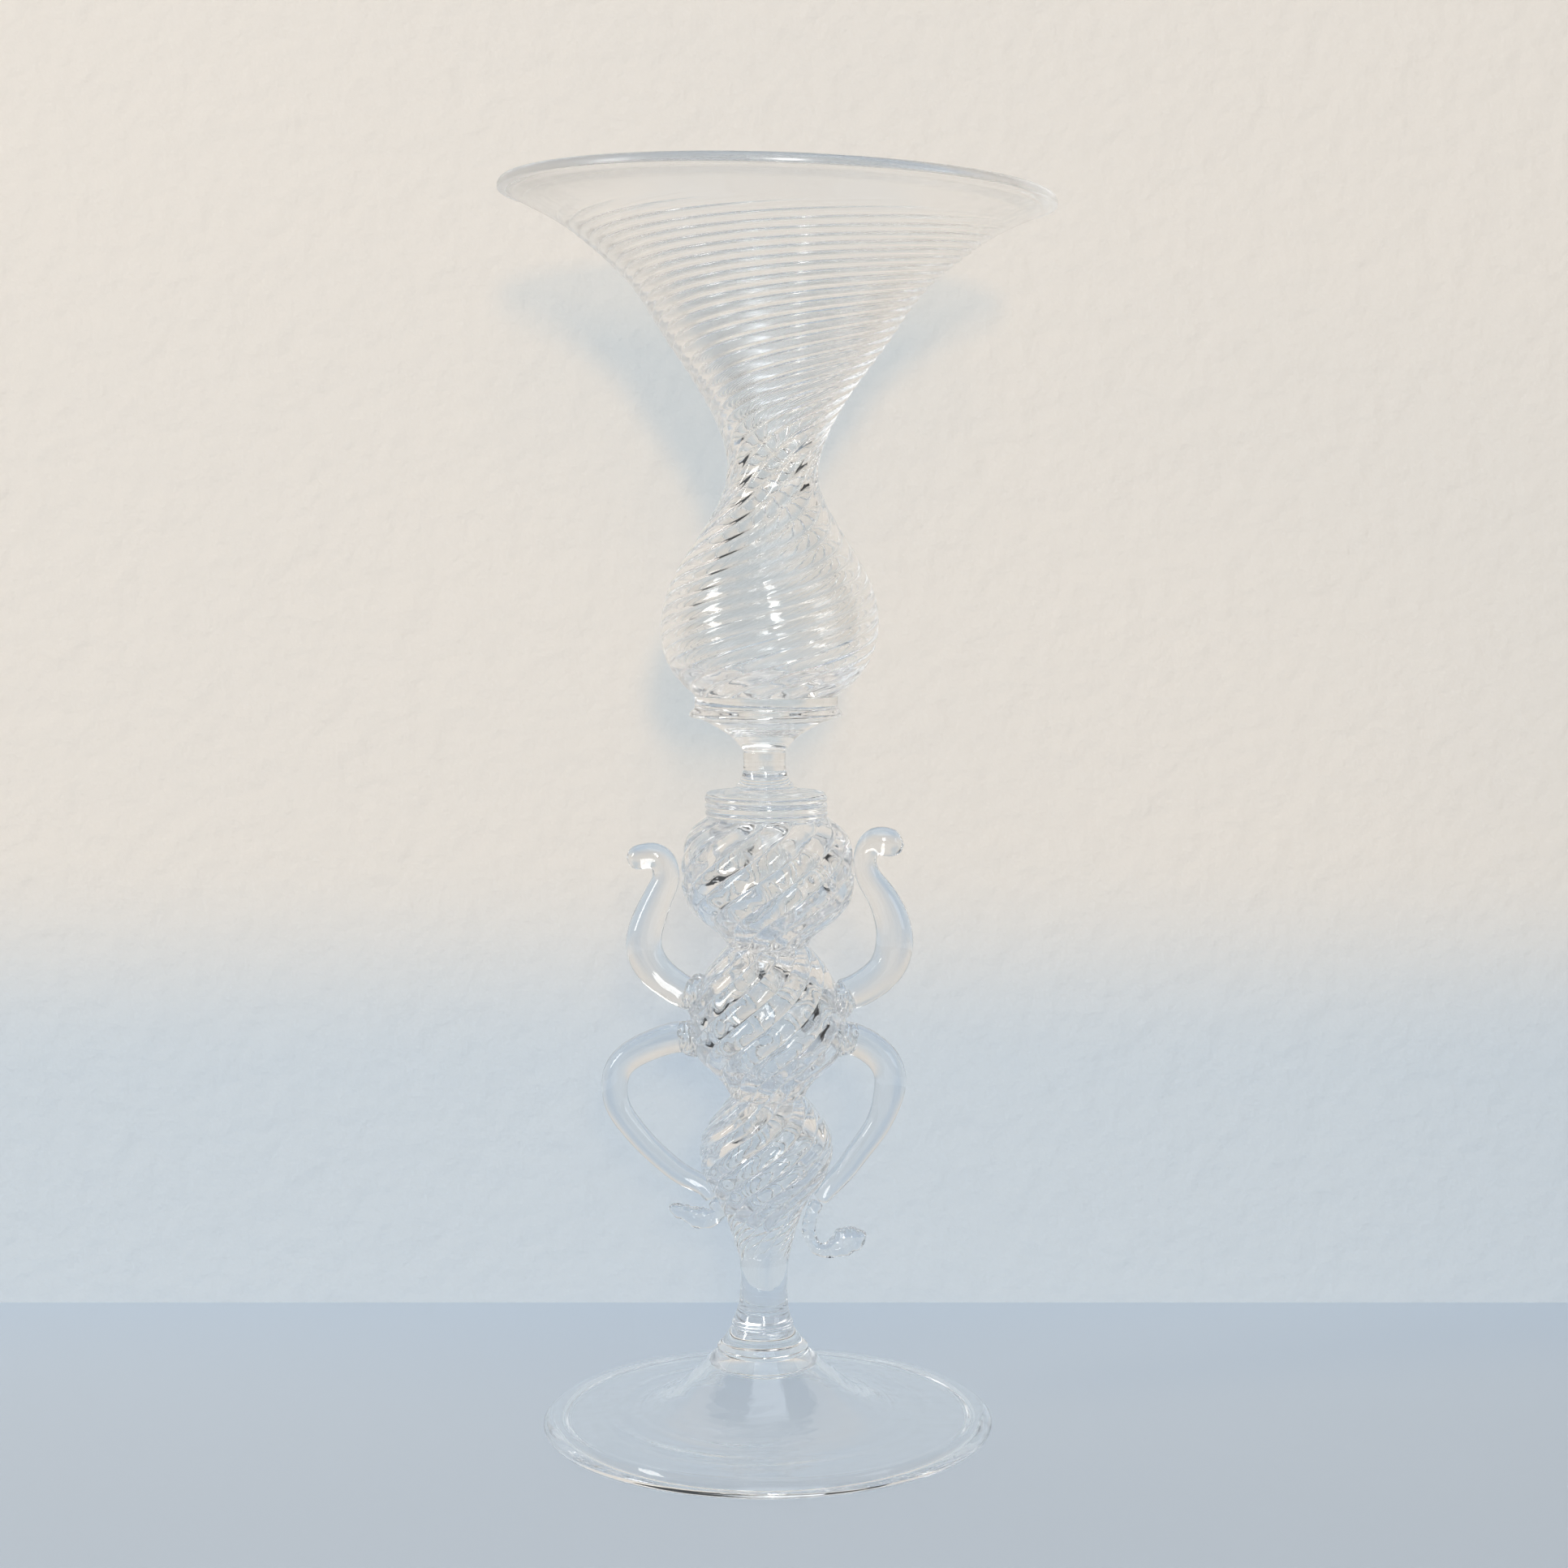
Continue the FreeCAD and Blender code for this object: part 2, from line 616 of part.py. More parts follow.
LOWER_RIGHT_SHARES = [
    (MIDDLE, -0.5, 0.9, 1.04, 0.97), (MIDDLE, 0.1, 0.875, 1.02, 0.97), (MIDDLE, 0.45, 0.825, 1, 0.97),
    (MIDDLE, 0.8, 0.73, 1, 0.97), (MIDDLE, 0.99, 0.6, 1, 0.97), (MIDDLE, 0.98, 0.47, 0.98, 0.97),
    (LOWER, 0.88, 0.31, 0.86, 0.97), (LOWER, 0.7, 0.16, 0.78, 0.97), (LOWER, 0.45, 0.015, 0.74, 0.97),
    (LOWER, 0.2, -0.13, 0.7, 0.97), (LOWER, -0.05, -0.25, 0.66, 0.97),
]
LEFT_TAIL_SHARES = [
    (LOWER, -0.151, -0.356, 0.55, 0.97), (LOWER, -0.2, -0.442, 0.54, 0.9),
    (LOWER, -0.115, -0.505, 0.63, 0.75), (LOWER, 0.02, -0.507, 0.7, 0.6), (LOWER, 0.18, -0.471, 0.54, 0.6),
    (LOWER, 0.3, -0.44, 0.4, 0.6), (LOWER, 0.37, -0.415, 0.22, 0.8),
]
RIGHT_TAIL_SHARES = [
    (LOWER, -0.285, -0.38, 0.46, 0.97), (LOWER, -0.395, -0.46, 0.43, 0.97),
    (LOWER, -0.457, -0.568, 0.42, 0.97), (LOWER, -0.431, -0.671, 0.4, 0.97),
    (LOWER, -0.302, -0.745, 0.4, 0.97), (LOWER, -0.1, -0.757, 0.52, 0.8), (LOWER, 0.156, -0.7, 0.85, 0.5),
    (LOWER, 0.395, -0.66, 0.74, 0.5), (LOWER, 0.57, -0.625, 0.26, 0.6),
]

KNOP_BELLY_SHARES = {"lower_knop": 0.66, "middle_knop": 0.49, "upper_knop": 0.6}


def belly_level(name):
    return level(name) + size(name + "_height") * KNOP_BELLY_SHARES[name]


def trail_points(rows, side, reach, below, above):
    """Centre line points of a trail, side -1 to the left and 1 to the right, between two knops' bellies."""
    low, high = belly_level(below), belly_level(above)
    points = []
    for carrier, reach_share, height_share, width_share, flatness_share in rows:
        near = size(carrier)
        far = near + (reach - near) * reach_share
        points.append(Vector(side * far, 0, low + (high - low) * height_share))
    return points


def rod(path, points, rows, width):
    """Rod lofted through ovals square to a smooth path, one at each of its points that has a row."""
    ovals = []
    for point, (carrier, reach_share, height_share, width_share, flatness_share) in zip(points, rows):
        where = path.parameter(point)
        centre = path.value(where)
        half_width = width * width_share / 2
        half_depth = half_width * flatness_share
        across = path.tangent(where)[0].cross(Vector(0, 1, 0)).normalize()
        oval = Part.Ellipse(centre + across * half_width, centre + Vector(0, half_depth, 0), centre)
        ovals.append(Part.Wire(oval.toShape()))
    return Part.makeLoft(ovals, True, False)


def placed_envelope(name):
    """Envelope of a knop at its level, with the seating clearance."""
    shape = envelope(KNOP_TRACKS[name][0], size("seat_gap"))
    shape.translate(Vector(0, 0, level(name)))
    return shape


SEATS = {name: placed_envelope(name) for name in KNOP_TRACKS}


def seated(shape, seats):
    """The largest part of a rod or pad that is left outside the pieces it sits against."""
    for seat in seats:
        shape = shape.cut(seat)
    return max(shape.Solids, key=lambda solid: solid.Volume)


# Pinched pads where the wings are pressed onto the middle knop, from the knop's foot to its top: share of
# the knop's height at the pad's middle, and the pad's half height as a share of its radius
PAD_SHARES = {
    "pad_upper_left": (0.665, 1),
    "pad_upper_right": (0.615, 0.76),
    "pad_lower_left": (0.385, 0.9),
    "pad_lower_right": (0.378, 0.8),
}
PINCHES = 2


def pad_shape(name, side, extra):
    """Flattened ball on the middle knop's side, larger all round by an extra length."""
    height_share, tallness_share = PAD_SHARES[name]
    track = KNOP_TRACKS["middle_knop"][0]
    height = size("middle_knop_height") * height_share
    surface = track.value(parameter_at_height(track, height)).x
    radius = size("pad_radius")
    stretch = FreeCAD.Matrix()
    stretch.scale(size("pad_depth") + extra, radius + extra, radius * tallness_share + extra)
    ball = Part.makeSphere(1).transformGeometry(stretch)
    centre = Vector(side * surface, 0, level("middle_knop") + height)
    ball.translate(centre)
    return ball, centre


def pad(name, side):
    """Pad with the marks of the pincers pressed into its edge, seated on the middle knop."""
    ball, centre = pad_shape(name, side, 0)
    pinch = size("pad_pinch")
    for mark in range(PINCHES):
        for half in (-1, 1):
            angle = math.radians(90 * half + 90 * (mark / (PINCHES - 1) - 0.5))
            reach = Vector(0, size("pad_radius") * math.sin(angle), size("pad_radius") * math.cos(angle))
            reach.z *= PAD_SHARES[name][1]
            bar = Part.makeCylinder(pinch, 3 * size("pad_depth"), centre + reach, Vector(side, 0, 0))
            ball = ball.cut(bar)
    add_piece(name, seated(ball, [SEATS["middle_knop"]]))


def upper_wing(corner, rows, side, reach):
    """Scroll from the middle knop out, up past the upper knop and over into an out-turned curl."""
    points = trail_points(rows, side, reach, "middle_knop", "upper_knop")
    pad_seat = pad_shape("pad_" + corner, side, size("seat_gap"))[0]
    scroll = rod(smooth_curve(points), points, rows, size("upper_rod"))
    add_piece("wing_" + corner, seated(scroll, [SEATS["middle_knop"], SEATS["upper_knop"], pad_seat]))
    pad("pad_" + corner, side)


def lower_wing(corner, tail_name, rows, tail_rows, side, reach):
    """Loop from the middle knop down to the lower knop, and the pinched end of the same trail as a tail."""
    all_rows = rows + tail_rows
    points = trail_points(all_rows, side, reach, "lower_knop", "middle_knop")
    path = smooth_curve(points)
    joint = len(rows) - 1
    pad_seat = pad_shape("pad_" + corner, side, size("seat_gap"))[0]
    loop = rod(path, points, rows, size("lower_rod"))
    add_piece("wing_" + corner, seated(loop, [SEATS["middle_knop"], SEATS["lower_knop"], pad_seat]))
    tail = rod(path, points[joint:], all_rows[joint:], size("lower_rod"))
    add_piece(tail_name, seated(tail, [SEATS["lower_knop"]]))
    pad("pad_" + corner, side)


foot()
foot_post()
foot_collar()
stem()
for knop_name in KNOP_TRACKS:
    knop(knop_name)
knop_merese()
merese_flare()
spool()
bowl_merese()
bowl()
upper_wing("upper_left", UPPER_LEFT_SHARES, -1, size("upper_left_reach"))
upper_wing("upper_right", UPPER_RIGHT_SHARES, 1, size("upper_right_reach"))
lower_wing("lower_left", "tail_left", LOWER_LEFT_SHARES, LEFT_TAIL_SHARES, -1, size("lower_left_reach"))
lower_wing("lower_right", "tail_right", LOWER_RIGHT_SHARES, RIGHT_TAIL_SHARES, 1, size("lower_right_reach"))

document.recompute()
failed = [item.Name for item in document.Objects if {"Invalid", "Error"} & set(item.State)]
if failed:
    raise RuntimeError(f"objects that failed to build: {failed}")
pieces = [item for item in document.Objects if item.TypeId in ("PartDesign::Body", "Part::Feature")]
for piece in pieces:
    if piece.Shape.isNull() or not piece.Shape.isValid() or len(piece.Shape.Solids) != 1:
        raise RuntimeError(f"{piece.Label} is not one valid solid")
os.makedirs("parts", exist_ok=True)
for piece in pieces:
    piece.Shape.exportStep(f"parts/{piece.Label}.step")
print(len(pieces), "pieces")
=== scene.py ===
import bpy
import math
import numpy as np
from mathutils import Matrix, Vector, noise


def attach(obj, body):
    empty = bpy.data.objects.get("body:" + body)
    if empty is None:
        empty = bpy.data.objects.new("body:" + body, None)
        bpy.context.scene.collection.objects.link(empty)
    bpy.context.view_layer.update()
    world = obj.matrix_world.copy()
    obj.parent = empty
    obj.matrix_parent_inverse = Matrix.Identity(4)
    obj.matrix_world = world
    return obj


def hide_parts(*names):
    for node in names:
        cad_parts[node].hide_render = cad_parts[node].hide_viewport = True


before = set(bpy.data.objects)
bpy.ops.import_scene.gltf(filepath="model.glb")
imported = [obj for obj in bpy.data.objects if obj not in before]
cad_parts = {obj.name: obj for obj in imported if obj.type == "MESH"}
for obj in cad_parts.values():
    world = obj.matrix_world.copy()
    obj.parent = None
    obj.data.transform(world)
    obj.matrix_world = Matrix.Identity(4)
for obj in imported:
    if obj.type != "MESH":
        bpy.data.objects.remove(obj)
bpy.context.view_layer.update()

# A winged drinking glass of clear blown glass. Lengths of the pieces are in millimetres and turned into
# metres where a point is placed. The glass goes on through a fused joint, so the flat faces of a joint are
# clear and the rest of each piece is glass.

MM = 0.001
GLASS, JOINT = 0, 1


def spline(xs, ys):
    """Natural cubic spline through stations, as a function of numbers or arrays."""
    xs, ys = np.array(xs, float), np.array(ys, float)
    gaps = np.diff(xs)
    count = len(xs)
    matrix, right = np.eye(count), np.zeros(count)
    for i in range(1, count - 1):
        matrix[i, i - 1 : i + 2] = gaps[i - 1], 2 * (gaps[i - 1] + gaps[i]), gaps[i]
        right[i] = 6 * ((ys[i + 1] - ys[i]) / gaps[i] - (ys[i] - ys[i - 1]) / gaps[i - 1])
    bends = np.linalg.solve(matrix, right)

    def at(x):
        x = np.asarray(x, float)
        i = np.clip(np.searchsorted(xs, x) - 1, 0, count - 2)
        past, ahead, gap = x - xs[i], xs[i + 1] - x, gaps[i]
        return (
            bends[i] * ahead**3 / (6 * gap) + bends[i + 1] * past**3 / (6 * gap)
            + (ys[i] / gap - bends[i] * gap / 6) * ahead
            + (ys[i + 1] / gap - bends[i + 1] * gap / 6) * past
        )

    return at


# The column that all pieces but the trails and pads share

# Levels of the joints from the table up
FOOT_TOP, POST_TOP, COLLAR_TOP, STEM_TOP = 17.2, 23.0, 28.5, 37.0
LOWER_TOP, MIDDLE_TOP, UPPER_TOP = 74.5, 108.1, 136.6
RINGS_TOP, FLARE_TOP, SPOOL_TOP, BOWL_FOOT, RIM_TOP = 141.4, 146.6, 151.4, 163.1, 271.8

# Small offsets of the hand-made column from its axis, sideways, by height
SWAY_TOP = 280
SWAY = spline(
    [0, 17, 23, 30, 37, 49, 60, 75, 108, 137, 149, 163, SWAY_TOP],
    [0, -1.1, -1.2, -0.9, -0.8, -1.1, -0.5, 0, 0, -0.2, -0.7, -0.2, 0],
)
# The funnel leans a little to the right above the waist, and the lean sets in over a short height
LEAN_FROM, LEAN_EASE, LEAN = 208.0, 6.0, math.radians(1.8)


def placed(point):
    """A point of the upright column, moved by its sway and the lean of the funnel."""
    x, y, z = point
    x = x + float(SWAY(min(max(z, 0.0), SWAY_TOP)))
    above = z - LEAN_FROM
    if above > -LEAN_EASE:
        bend = LEAN * min(1.0, (above + LEAN_EASE) / (2 * LEAN_EASE))
        lift = above if above > LEAN_EASE else (above + LEAN_EASE) ** 2 / (4 * LEAN_EASE)
        x, z = x + math.sin(LEAN) * lift, z - x * math.sin(bend)
    return Vector((x, y, z)) * MM


def column_point(radius, angle, height):
    return placed((radius * math.cos(angle), radius * math.sin(angle), height))


def axis_point(height):
    """Loop of the one point on the axis, which closes a skin."""
    return [placed((0, 0, height))]


# Meshes from loops of points

def new_piece(name, vertices, faces, marks, sharp=40.0):
    """Mesh object from placed points, smooth but for edges sharper than an angle in degrees."""
    mesh = bpy.data.meshes.new(name)
    mesh.from_pydata(vertices, [], faces)
    mesh.polygons.foreach_set("material_index", marks)
    mesh.polygons.foreach_set("use_smooth", [True] * len(faces))
    mesh.update()
    mesh.set_sharp_from_angle(angle=math.radians(sharp))
    piece = bpy.data.objects.new(name, mesh)
    bpy.context.scene.collection.objects.link(piece)
    return piece


def skin(loops, slots):
    """Vertices, faces and material marks of a skin through loops of points. A loop of one point is a pole.
    slots holds the material of each band between two loops."""
    vertices, starts, faces, marks = [], [], [], []
    for loop in loops:
        starts.append(len(vertices))
        vertices.extend(loop)
    for band, slot in enumerate(slots):
        low, high = len(loops[band]), len(loops[band + 1])
        s, t = starts[band], starts[band + 1]
        count = max(low, high)
        for i in range(count):
            j = (i + 1) % count
            if low == 1:
                faces.append((s, t + j, t + i))
            elif high == 1:
                faces.append((s + i, s + j, t))
            else:
                faces.append((s + i, s + j, t + j, t + i))
            marks.append(slot)
    return vertices, faces, marks


def joined(parts):
    """Several skins as one list of vertices, faces and material marks."""
    vertices, faces, marks = [], [], []
    for more_vertices, more_faces, more_marks in parts:
        start = len(vertices)
        vertices.extend(more_vertices)
        faces.extend(tuple(start + i for i in face) for face in more_faces)
        marks.extend(more_marks)
    return vertices, faces, marks


# Outlines: corners of radius and height, and the soft lines through them

FINE_STEP = 0.12


def resample(points, step):
    """Points at even steps along a polyline, its ends kept."""
    points = np.array(points, float)
    run = np.concatenate([[0], np.cumsum(np.linalg.norm(np.diff(points, axis=0), axis=1))])
    count = max(2, int(round(run[-1] / step)))
    at = np.linspace(0, run[-1], count + 1)
    return np.column_stack([np.interp(at, run, points[:, k]) for k in range(points.shape[1])])


def softened(points, reach, step):
    """Points at even steps along a polyline whose corners are rounded over about a reach, its ends kept."""
    fine = resample(points, FINE_STEP)
    width = max(1, int(round(2.5 * reach / FINE_STEP)))
    kernel = np.exp(-0.5 * (np.arange(-width, width + 1) * FINE_STEP / reach) ** 2)
    kernel /= kernel.sum()
    out = fine.copy()
    for k in range(2):
        before = 2 * fine[0, k] - fine[1 : width + 1, k][::-1]
        after = 2 * fine[-1, k] - fine[-width - 1 : -1, k][::-1]
        out[:, k] = np.convolve(np.concatenate([before, fine[:, k], after]), kernel, mode="valid")
    out[0], out[-1] = fine[0], fine[-1]
    return resample(out, step)


def arc(start, end, bend, steps=14):
    """Points of an arc from start to end, its own end left out. bend is its radius. It bulges to the left of
    the way, or to the right where bend is negative."""
    (x0, z0), (x1, z1) = start, end
    chord = math.hypot(x1 - x0, z1 - z0)
    # never less than the half circle over the chord
    radius = max(abs(bend), chord / 2 * 1.0001)
    away = math.sqrt(radius * radius - chord * chord / 4)
    side = -1 if bend < 0 else 1
    centre_x = (x0 + x1) / 2 + (z1 - z0) / chord * away * side
    centre_z = (z0 + z1) / 2 - (x1 - x0) / chord * away * side
    first = math.atan2(z0 - centre_z, x0 - centre_x)
    last = math.atan2(z1 - centre_z, x1 - centre_x)
    sweep = (last - first + math.pi) % (2 * math.pi) - math.pi
    angles = [first + sweep * s / steps for s in range(steps)]
    return [(centre_x + radius * math.cos(a), centre_z + radius * math.sin(a)) for a in angles]


def side_line(corners):
    """Polyline from corners (radius, height, radius of the arc that leads there or None)."""
    points = []
    for (x0, z0, _), (x1, z1, bend) in zip(corners, corners[1:]):
        points.extend([(x0, z0)] if bend is None else arc((x0, z0), (x1, z1), bend))
    points.append(corners[-1][:2])
    return points


# Turned pieces

def ring_of(radius, height, columns, wobble=None):
    """Loop of points round the axis, at even angles."""
    loop = []
    for i in range(columns):
        angle = 2 * math.pi * i / columns
        r, z = wobble(radius, height, angle) if wobble else (radius, height)
        loop.append(column_point(r, angle, z))
    return loop


def turned(name, corners, columns=128, soft=0.22, wobble=None, step=0.36):
    """Turned piece, its outline from bottom to top round the outside. It ends in a flat joint where its
    outline ends off the axis."""
    side = softened(side_line(corners), soft, step)
    loops = [ring_of(r, z, columns, wobble) for r, z in side]
    slots = [GLASS] * (len(side) - 1)
    bottom, top = axis_point(side[0][1]), axis_point(side[-1][1])
    if corners[0][0] == 0:
        loops[0] = bottom
    else:
        loops.insert(0, bottom)
        slots.insert(0, JOINT)
    loops.append(top)
    slots.append(JOINT)
    return new_piece(name, *skin(loops, slots))


def wave(angle, *terms):
    """Sum of small sine terms (size, waves round, phase)."""
    return sum(size * math.sin(waves * angle + phase) for size, waves, phase in terms)


FOOT_RADIUS = 50.0
# The foot's plate waves up and down outside this radius and above its resting ring
PLATE_FROM, PLATE_ABOVE = 20, 1.2
# The tool's ripples lie between two radii on the upper side, and are deepest round one angle
RIPPLE_FROM, RIPPLE_TO, RIPPLE_ABOVE, RIPPLE_ANGLE = 12, 43, 2.6, 4.35


def foot_wobble(r, z, angle):
    """The foot a little out of round, with the spiral ripples that the tool left on its upper side."""
    share = min(1.0, r / FOOT_RADIUS)
    lift = 0.0
    if z > PLATE_ABOVE and r > PLATE_FROM:
        lift = wave(angle, (0.10, 2, 0.3), (0.07, 3, 1.2)) * share
    if z > RIPPLE_ABOVE and RIPPLE_FROM < r < RIPPLE_TO:
        fade = min(1.0, (r - RIPPLE_FROM) / 4, (RIPPLE_TO - r) / 8)
        patch = 0.25 + math.exp(-(((angle - RIPPLE_ANGLE) / 0.8) ** 2))
        lift += 0.085 * fade * patch * math.sin(r * 1.35 + angle * 2 + 0.7 * math.sin(angle * 4))
        lift += 0.03 * fade * math.sin(r * 0.83 - angle * 2 + 1.3)
    return r * (1 + wave(angle, (0.003, 2, 0.8), (0.002, 3, 2.0)) * share), z + lift


def foot():
    """Hollow cone with a folded edge, resting on a narrow ring, and the pontil's blob inside it."""
    corners = [
        (0.0, 12.2, None), (8.77, 12.2, None), (10.81, 14.05, 2.25), (16.71, 8.49, None),
        (32.0, 1.91, -24.1), (44.3, 1.26, None), (45.7, 0.03, None), (48.3, 0.03, None),
        (FOOT_RADIUS, 1.53, -1.87), (44.3, 3.06, -5.13), (32.0, 3.71, None), (17.95, 9.8, 22.2),
        (10.2, FOOT_TOP, None),
    ]
    return turned("glass_foot", corners, columns=192, soft=0.3, wobble=foot_wobble, step=0.4)


def foot_post():
    corners = [
        (10.2, FOOT_TOP, None), (9.89, 18.48, -1.74), (9.38, 18.77, None), (6.63, 22.95, 34.8),
        (6.76, POST_TOP, None),
    ]
    return turned("glass_foot_post", corners)


def foot_collar():
    corners = [(6.76, POST_TOP, None), (6.62, 23.88, -0.55), (5.4, COLLAR_TOP, 13.2)]
    return turned("glass_foot_collar", corners, soft=0.16)


def stem():
    return turned("glass_stem", [(5.4, COLLAR_TOP, None), (5.4, STEM_TOP, 51.0)])


def knop_merese():
    """Disc of three rings, each an arc over a third of its height."""
    ring = (RINGS_TOP - UPPER_TOP) / 3
    corners = [(13.0, UPPER_TOP, None)]
    corners += [(13.05, UPPER_TOP + ring * (i + 1), -0.62 * ring) for i in range(3)]
    return turned("glass_knop_merese", corners, soft=0.12, step=0.25)


def merese_flare():
    """Flared piece with a fine crease above its plate."""
    corners = [
        (13.0, RINGS_TOP, None), (13.0, 141.9, None), (6.75, 142.96, 15.6), (6.2, 143.15, None),
        (6.35, 143.5, None), (4.85, FLARE_TOP, 5.2),
    ]
    return turned("glass_merese_flare", corners, soft=0.12, step=0.2)


def spool():
    """Thin spool with a fine crease at either end."""
    corners = [
        (4.85, FLARE_TOP, None), (4.45, 146.8, None), (4.66, 147.25, None), (4.58, 149.0, None),
        (4.66, 150.75, None), (4.42, 151.1, None), (4.85, SPOOL_TOP, None),
    ]
    return turned("glass_spool", corners, soft=0.09, step=0.12)


def bowl_merese():
    corners = [
        (4.85, SPOOL_TOP, None), (9.52, 155.6, 11.7), (16.7, 158.65, 18.7), (16.7, 159.45, None),
        (15.6, 160.5, None), (15.6, BOWL_FOOT, None),
    ]
    return turned("glass_bowl_merese", corners, soft=0.18)


# The three ribbed knops: stations of height and crest radius

KNOP_STATIONS = {
    "lower": [
        (STEM_TOP, 5.4), (38.6, 5.62), (40.4, 6.22), (43.4, 7.03), (47.1, 8.29), (50.9, 10.06),
        (54.25, 12.4), (58.0, 14.1), (61.75, 14.8), (65.5, 14.4), (69.25, 12.3), (LOWER_TOP, 8.2),
    ],
    "middle": [
        (LOWER_TOP, 8.2), (78.2, 10.55), (81.9, 14.4), (86.6, 16.95), (91.3, 17.3), (98.0, 15.6),
        (103.7, 12.6), (MIDDLE_TOP, 8.8),
    ],
    "upper": [
        (MIDDLE_TOP, 8.8), (110.95, 11.1), (114.4, 15.5), (119.5, 18.7), (125.2, 19.1), (130.6, 18.3),
        (134.3, 16.2), (UPPER_TOP, 13.0),
    ],
}
KNOP_CREST = {name: spline(*zip(*rows)) for name, rows in KNOP_STATIONS.items()}
# The ribs wind on from knop to knop: height and turn in degrees
KNOP_TURN = ([STEM_TOP, LOWER_TOP, MIDDLE_TOP, UPPER_TOP], [0, 216, 367, 504])
# Rib depth as a share of the crest radius
KNOP_DEPTH = {"lower": 0.078, "middle": 0.06, "upper": 0.06}
KNOP_ROW = 0.4
# The sealed bubble: its wall, its rows, its unevenness, and where it starts in the long lower knop
KNOP_WALL, BUBBLE_ROWS, BUBBLE_LUMPS, LOWER_BUBBLE_FROM = 3.0, 60, 0.05, 46.0
# A bubble's rows nearer to the axis than this are left to its poles
BUBBLE_TIP = 0.35

RIBS = 14
# Columns of each rib's pitch, closer near the groove
RIB_PLACES = [
    0, 0.02, 0.045, 0.08, 0.12, 0.18, 0.26, 0.35, 0.45, 0.55, 0.65, 0.74, 0.82, 0.88, 0.92, 0.955, 0.98,
]
RIB_COLUMNS = [(rib + place) / RIBS for rib in range(RIBS) for place in RIB_PLACES]


def rib_swell(turns):
    """How far out a rib's section stands, 0 in the groove and 1 on the crest, by turns of a pitch."""
    return abs(math.sin(math.pi * turns)) ** 0.6


def knop_turn(z):
    return math.radians(float(np.interp(z, *KNOP_TURN)))


def knop_loop(name, z):
    """Ribbed loop of a knop's skin. The ribs fade in over the stem and out at the ringed disc."""
    crest = float(KNOP_CREST[name](z))
    depth = KNOP_DEPTH[name] * crest
    depth *= min(1.0, (z - STEM_TOP) / 6.0) * min(1.0, (UPPER_TOP - z) / 0.8)
    start = knop_turn(z)
    return [
        column_point(crest - depth * (1 - rib_swell(share * RIBS)), start + 2 * math.pi * share, z)
        for share in RIB_COLUMNS
    ]


def bubble_loop(radius, z):
    """Slightly uneven loop of a bubble."""
    loop = []
    for share in RIB_COLUMNS:
        angle = knop_turn(z) + 2 * math.pi * share
        lump = noise.noise(Vector((radius * math.cos(angle), radius * math.sin(angle), z)) / 4.0)
        loop.append(column_point(radius * (1 + BUBBLE_LUMPS * lump), angle, z))
    return loop


def bubble(name, bottom, top):
    """Skin of the air sealed in a knop, its faces turned to the air."""
    loops = [axis_point(bottom)]
    for z in np.linspace(bottom, top, BUBBLE_ROWS):
        share = (z - bottom) / (top - bottom)
        room = max(0.0, float(KNOP_CREST[name](z)) - KNOP_WALL)
        radius = room * math.sqrt(max(0.0, 1 - (2 * share - 1) ** 4))
        if radius > BUBBLE_TIP:
            loops.append(bubble_loop(radius, z))
    loops.append(axis_point(top))
    vertices, faces, marks = skin(loops, [GLASS] * (len(loops) - 1))
    return vertices, [tuple(reversed(face)) for face in faces], marks


def knop(name, low, high):
    """Hollow ribbed knop: its skin between two joints and the bubble sealed in it."""
    heights = np.linspace(low, high, int(round((high - low) / KNOP_ROW)) + 1)
    loops = [axis_point(low), *(knop_loop(name, z) for z in heights), axis_point(high)]
    outer = skin(loops, [JOINT] + [GLASS] * (len(heights) - 1) + [JOINT])
    bottom = LOWER_BUBBLE_FROM if name == "lower" else low + KNOP_WALL
    air = bubble(name, bottom, high - KNOP_WALL)
    return new_piece("glass_" + name + "_knop", *joined([outer, air]), sharp=80)


# The bowl: stations of height, crest radius, whole turn in degrees and rib depth

BOWL_STATIONS = [
    (BOWL_FOOT, 15.6, 0, 0.385), (166.2, 19.0, 28, 0.385), (171.2, 22.4, 72, 0.385),
    (178.3, 23.8, 133, 0.385), (189.2, 21.1, 230, 0.42), (197.3, 16.2, 292, 0.525),
    (210.6, 10.0, 372, 0.7), (220.6, 12.0, 430, 0.7), (231.2, 18.07, 530, 0.6),
    (241.5, 25.3, 639, 0.525), (251.8, 32.6, 767, 0.455), (258.9, 40.6, 876, 0.385),
    (264.75, 49.1, 977, 0.21), (269.46, 58.92, 1059, 0.0),
]
BOWL_HEIGHTS, BOWL_RADII, BOWL_TURNS, BOWL_DEPTHS = zip(*BOWL_STATIONS)
BOWL_CREST = spline(BOWL_HEIGHTS, BOWL_RADII)
BOWL_TURN = spline(BOWL_HEIGHTS, BOWL_TURNS)
BOWL_ROW, BOWL_WALL, GROOVE = 0.26, 1.9, 0.12
# The funnel's grooves grow deeper by this share from this height up, over this height
DEEPER, DEEPER_FROM, DEEPER_OVER = 1.1, 222.0, 10.0
# The ribs fade out over this height up to the plain band
PLAIN_BAND, BAND_FADE = 264.9, 3.0
# The rolled lip: radius of its roll, the roll's centre, and its angles in degrees from the outside in
LIP, LIP_RADIUS, LIP_FROM, LIP_STEP, LIP_POINTS = 1.6, 58.4, -38, 15.2, 14
# The inner wall: levels between which it runs, from below the lip to the rounding over the floor
INSIDE_TOP, INSIDE_LOW, INSIDE_ROWS = 268.4, 168.8, 330
FLOOR_LINE = [(15.5, 167.6), (10.0, 166.95), (4.0, 166.72), (0.0, 166.7)]


